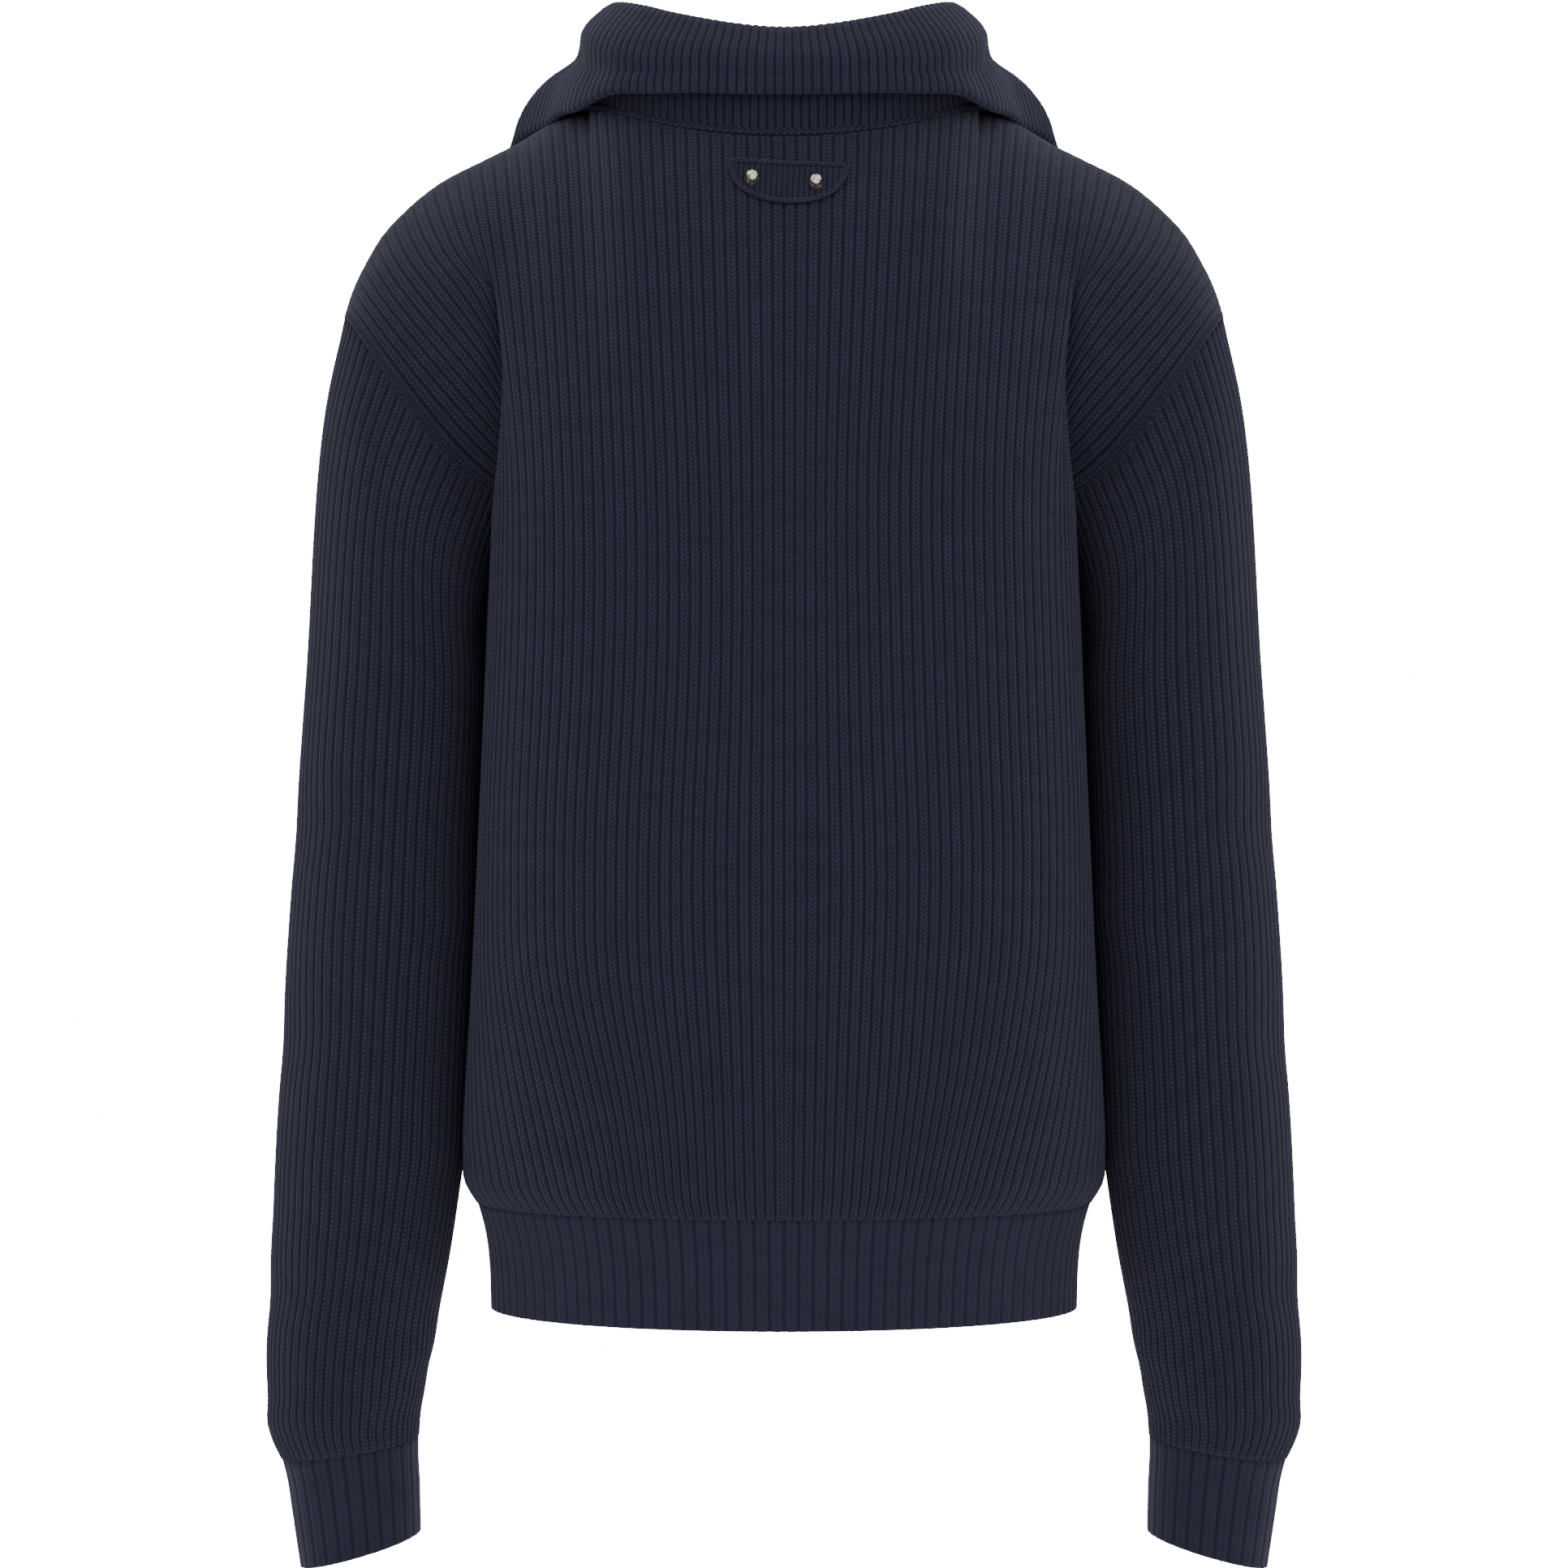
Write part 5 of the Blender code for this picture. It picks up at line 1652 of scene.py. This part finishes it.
@dataclass(frozen=True)
class NeckTab:
    """The plain half-moon patch below the collar, and its two studs."""

    width: float = 63.0
    height: float = 21.5
    middle_x: float = -2.5
    top_z: float = -42.6
    tilt: float = 2.5
    lift: float = 1.1
    thick: float = 0.9
    roundness: float = 2.3
    ribs: int = 20
    rows: int = 14
    # how much of the width the patch and the border's top edge take
    patch_share: float = 0.96
    top_share: float = 0.985
    # the border's radius, bead, flatness, how much narrower between beads, and its points
    border: Row = (1.7, 2.6, 0.6, 0.15)
    border_steps: tuple[int, int] = (121, 60)
    stud_spacing: float = 17.5
    stud_z: Pair = (-51.8, -54.2)
    stud_base: float = 4.1
    stud_top: float = 3.1
    stud_height: float = 5.2
    stud_sides: int = 8
    stud_sink: float = 0.3
    stud_bevel: float = 0.45

    def tilted(self, x: Grid, z: Grid) -> tuple[Grid, Grid]:
        """Places on the back for places on the patch, whose top middle is at 0, 0."""
        lean = math.radians(self.tilt)
        out_x = self.middle_x + x * math.cos(lean) - z * math.sin(lean)
        return out_x, self.top_z + x * math.sin(lean) + z * math.cos(lean)

    def drop(self, across: Grid) -> Grid:
        """How far down the lower edge is at each place across, from -1 to 1."""
        return self.height * (1 - np.abs(across) ** self.roundness) ** (1 / self.roundness)

    def patch(self, back: BackMap, finishes: Finishes) -> None:
        """The patch's fine-ribbed middle."""
        half = self.ribs // 2
        ribs = rib_columns(-half, half, TAB_RIB.columns)
        across = ribs / half * self.patch_share
        down = np.linspace(1.0, 0.0, self.rows + 1)
        x = np.broadcast_to(across * self.width / 2, (len(down), len(across)))
        points, normals = back.place(*self.tilted(x, -down[:, None] * self.drop(across)[None, :]))
        raised = points + normals * self.lift
        knit = Knit("neck_tab_knit", raised, normals, ribs, TAB_RIB, thick=self.thick, flip=True)
        piece = knit.build(finishes.tab)
        file_piece(piece, "tab_knit", "neck_tab")

    def rim(self, back: BackMap, finishes: Finishes) -> None:
        """The rolled border."""
        below, above = self.border_steps
        lower = np.sin(np.linspace(-math.pi / 2, math.pi / 2, below))
        upper = np.linspace(self.top_share, -self.top_share, above)
        x = np.concatenate([lower, upper]) * self.width / 2
        z = np.concatenate([-self.drop(lower), np.zeros_like(upper)])
        points, normals = back.place(*self.tilted(x, z))
        radius, bead, flatten, swell = self.border
        path = points + normals * self.lift
        made = chain("neck_tab_border", path, normals, radius, bead, finishes.tab, flatten, swell)
        file_piece(made, "tab_knit")

    def studs(self, back: BackMap, finishes: Finishes) -> None:
        """Two faceted metal studs with worn edges.

        Args:
            back: the back panel's surface.
            finishes: the garment's materials.
        """
        for hand, stud_z in zip(Hand, self.stud_z):
            points, normals = back.place(np.array([hand.value * self.stud_spacing]), np.array([stud_z]))
            bm = bmesh.new()
            bmesh.ops.create_cone(
                bm, cap_ends=True, segments=self.stud_sides, radius1=self.stud_base * MM,
                radius2=self.stud_top * MM, depth=self.stud_height * MM,
            )
            bevel_all(bm, self.stud_bevel, 3)
            normal = Vector(normals[0])
            foot = Vector(points[0]) + normal * (self.lift + self.stud_height / 2 - self.stud_sink)
            turn = normal.to_track_quat("Z", "Y").to_matrix().to_4x4()
            bm.transform(Matrix.Translation(foot * MM) @ turn)
            made = mesh_object(f"stud_{hand.word}_metal", bm, finishes.stud)
            file_piece(made, "studs", f"stud_{hand.word}")

    def build(self, panel: Grid, finishes: Finishes) -> None:
        """Makes the patch, its border and the studs."""
        back = BackMap(panel)
        self.patch(back, finishes)
        self.rim(back, finishes)
        self.studs(back, finishes)
        log.info("neck tab: patch, border and two studs")


def bevel_all(bm: bmesh.types.BMesh, width: float, segments: int) -> None:
    """Rounds every edge of a bmesh by a width in millimetres."""
    bmesh.ops.bevel(
        bm, geom=bm.edges[:], offset=width * MM, segments=segments, profile=0.5, affect="EDGES",
        material=-1,
    )


def mesh_object(name: str, bm: bmesh.types.BMesh, material: Material) -> Piece:
    """Turns a bmesh into an object at the origin, and frees it."""
    mesh = bpy.data.meshes.new(name)
    bm.to_mesh(mesh)
    bm.free()
    mesh.materials.append(material)
    made = bpy.data.objects.new(name, mesh)
    bpy.context.scene.collection.objects.link(made)
    return made


# ---------------------------------------------------------------- zip


@dataclass(frozen=True)
class Zip:
    """Tapes, teeth, slider, pull tab and bottom stop."""

    torso: Torso
    tape_width: float = 5.5
    tape_thick: float = 1.2
    tape_sink: float = 1.6
    tape_gap: float = 0.8
    seam_gap: float = 0.3
    tape_columns: int = 4
    # rows of the collar's end, from its foot, that the tape passes by
    passed_rows: int = 2
    # rows up the slit, and how far above its bottom and above the neck's low point they start and end
    slit_rows: int = 40
    slit_ends: Pair = (1.0, 2.0)
    pitch: float = 2.5
    tooth: Triple = (2.3, 2.3, 1.25)
    tooth_bevel: float = 0.3
    # how far the left row is shifted, in teeth, and the share of a row that gives a tooth's direction
    tooth_shift: float = 0.49
    tooth_look: float = 0.004

    def edges(self, collar: Grid, sign: int) -> tuple[Grid, Grid]:
        """A tape's two sides: up the slit, then round the collar's end.

        Args:
            collar: the collar's middle surface.
            sign: 1 for the left tape, -1 for the right.

        Returns:
            The side sewn to the knit and the side with the teeth.
        """
        low, high = self.slit_ends
        neck_z = -self.torso.neck_drop[1]
        heights = np.linspace(self.torso.slit_bottom + low, neck_z + high, self.slit_rows)
        chest = self.torso.on_front(heights) + (0.0, self.tape_sink, 0.0)
        reach = self.torso.slit_half_width - self.seam_gap
        knit = chest + (sign * reach, 0.0, 0.0)
        teeth = chest + (sign * (reach - self.tape_width), 0.0, 0.0)
        near, before = (-1, -2 * COLLAR_RIB.columns) if sign > 0 else (0, 2 * COLLAR_RIB.columns - 1)
        end = collar[:, near]
        onward = unit(end - collar[:, before])
        sewn = end + onward * self.tape_gap
        free = end + onward * (self.tape_gap + self.tape_width)
        passed = self.passed_rows
        return np.concatenate([knit, sewn[passed:]]), np.concatenate([teeth, free[passed:]])

    def tape(self, collar: Grid, hand: Hand, finishes: Finishes) -> tuple[Grid, Grid]:
        """Makes one tape.

        Args:
            collar: the collar's middle surface.
            hand: the wearer's side.
            finishes: the garment's materials.

        Returns:
            The line along its teeth side, and the normals there.
        """
        knit, teeth = self.edges(collar, hand.value)
        across = ramp(self.tape_columns + 1)
        shares = across[None, :, None]
        grid = knit[:, None] * (1 - shares) + teeth[:, None] * shares
        grid = hermite(np.arange(len(grid)), grid, np.linspace(0, len(grid) - 1, 2 * len(grid) - 1))
        flip = hand is Hand.RIGHT
        normals = normals_of(grid, flip=flip)
        grid = grid + normals * self.tape_thick / 2
        up = np.broadcast_to(lengths(grid)[:, None], grid.shape[:2]) / self.tape_width
        name = f"zip_tape_{hand.word}"
        piece = lay_grid(f"{name}_weave", grid, (across, up), finishes.tape, flip=flip)
        thicken(piece, self.tape_thick)
        file_piece(piece, "zip_tape", name)
        return grid[:, -1], normals[:, -1]

    def teeth(self, sides: dict[Hand, tuple[Grid, Grid]], finishes: Finishes) -> None:
        """Both rows of teeth, one mesh.

        Args:
            sides: the line and the normals along each tape's teeth side.
            finishes: the garment's materials.
        """
        bm = bmesh.new()
        for hand, (line, facing) in sides.items():
            count = int(distances(line)[-1] / self.pitch)
            shift = self.tooth_shift if hand is Hand.LEFT else 0.0
            shares = (np.arange(count) + 0.5 + shift) / (count + 1)
            places, normals = along(line, shares), unit(along(facing, shares))
            look = self.tooth_look
            forward = unit(along(line, shares + look) - along(line, shares - look))
            for place, normal, ahead in zip(places, normals, forward):
                side = unit(np.cross(ahead, normal))
                turn = Matrix(np.stack([side, normal, ahead], axis=-1).tolist()).to_4x4()
                size = Matrix.Diagonal((*(s * MM for s in self.tooth), 1.0))
                move = Matrix.Translation(Vector((place - normal * self.tape_thick * 0.5) * MM))
                bmesh.ops.create_cube(bm, size=1.0, matrix=move @ turn @ size)
        bevel_all(bm, self.tooth_bevel, 1)
        bmesh.ops.recalc_face_normals(bm, faces=bm.faces)
        made = mesh_object("zip_teeth", bm, finishes.zip_metal)
        file_piece(made, "zip_metal")

    def build(self, collar: Grid, finishes: Finishes) -> None:
        """Makes the zip.

        Args:
            collar: the collar's middle surface, whose front ends carry the tapes.
            finishes: the garment's materials.
        """
        sides = {hand: self.tape(collar, hand, finishes) for hand in Hand}
        self.teeth(sides, finishes)
        for name in ("zip_slider", "pull_tab", "zip_stop"):
            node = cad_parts[name]
            node.data.materials.clear()
            node.data.materials.append(finishes.zip_metal)
        log.info("zip: two tapes, teeth, slider, pull tab and stop")


# ---------------------------------------------------------------- studio


@dataclass(frozen=True)
class Studio:
    """A pale floor, soft light from all round and the photograph's camera."""

    distance: float = 2.3
    height: float = -0.3785
    lens: float = 93.86
    floor_z: float = -1.25
    floor_half: float = 14.0
    floor_colour: tuple[float, float, float, float] = (0.92, 0.92, 0.92, 1.0)
    floor_roughness: float = 0.9
    glow: float = 1.5
    backdrop: float = 16.0
    sensor: float = 36.0
    # name, place, size in metres, power in watts
    lamps: tuple[tuple[str, Triple, float, float], ...] = (
        ("top", (0.0, 1.0, 2.2), 2.2, 14.0),
        ("key", (0.9, 2.6, 0.5), 1.6, 15.0),
        ("fill", (-1.0, 2.5, 0.1), 1.8, 13.0),
        ("behind", (0.0, -2.6, 0.6), 2.2, 26.0),
    )

    def floor(self) -> None:
        """The pale floor."""
        bm = bmesh.new()
        bmesh.ops.create_grid(bm, x_segments=2, y_segments=2, size=self.floor_half)
        bm.transform(Matrix.Translation((0.0, 0.0, self.floor_z)))
        material, tree, shader = new_material("floor_white")
        put(shader, {"Base Color": self.floor_colour, "Roughness": self.floor_roughness})
        shine = node_of(tree, "ShaderNodeEmission")
        put(shine, {"Strength": self.backdrop})
        mix = node_of(tree, "ShaderNodeMixShader")
        tree.links.new(node_of(tree, "ShaderNodeLightPath").outputs["Is Camera Ray"], mix.inputs[0])
        tree.links.new(shader.outputs[0], mix.inputs[1])
        tree.links.new(shine.outputs[0], mix.inputs[2])
        tree.links.new(mix.outputs[0], tree.nodes["Material Output"].inputs["Surface"])
        mesh_object("floor", bm, material)

    def light(self, name: str, place: Sequence[float], size: float, power: float) -> None:
        """One square soft light aimed at the middle of the garment."""
        data = bpy.data.lights.new(name, "AREA")
        data.size, data.energy = size, power
        lamp = bpy.data.objects.new(name, data)
        lamp.location = place
        aim = Vector((0.0, 0.0, self.height)) - lamp.location
        lamp.rotation_euler = aim.to_track_quat("-Z", "Y").to_euler()
        bpy.context.scene.collection.objects.link(lamp)

    def lights(self) -> None:
        """The world's even glow and four large panels."""
        world = bpy.data.worlds.new("studio")
        world.use_nodes = True
        glow = world.node_tree.nodes["Background"]
        put(glow, {"Color": (1.0, 1.0, 1.0, 1.0)})
        m = Maths(world.node_tree)
        seen = node_of(world.node_tree, "ShaderNodeLightPath").outputs["Is Camera Ray"]
        more = m.times(seen, self.backdrop - self.glow)
        world.node_tree.links.new(m.add(more, self.glow), glow.inputs["Strength"])
        bpy.context.scene.world = world
        for lamp in self.lamps:
            self.light(*lamp)

    def camera(self) -> None:
        """The camera behind the garment."""
        data = bpy.data.cameras.new("camera")
        data.lens, data.sensor_width = self.lens, self.sensor
        made = bpy.data.objects.new("camera", data)
        made.location = (0.0, self.distance, self.height)
        made.rotation_euler = (math.pi / 2, 0.0, math.pi)
        bpy.context.scene.collection.objects.link(made)
        bpy.context.scene.camera = made

    def build(self) -> None:
        """Sets the studio up."""
        self.floor()
        self.lights()
        self.camera()


def write_sizes() -> None:
    """Updates the view layer."""
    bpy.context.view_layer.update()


def main() -> None:
    """Builds the sweater piece by piece, then the studio."""
    logging.basicConfig(level=logging.INFO, format="%(message)s")
    finishes = Finishes.make()
    torso = Torso()
    back, front = (torso.build(face, finishes) for face in Face)
    sides = SideLines(back[:, -1], front[:, -1], torso.lower_rows)
    for hand in Hand:
        Sleeve(hand).build(sides, finishes)
    Bands().build(finishes)
    middle = Collar().build(torso, finishes)
    Seams(torso).build(sides, finishes)
    NeckTab().build(back, finishes)
    Zip(torso).build(middle, finishes)
    Studio().build()
    write_sizes()


if __name__ == "__main__":
    main()
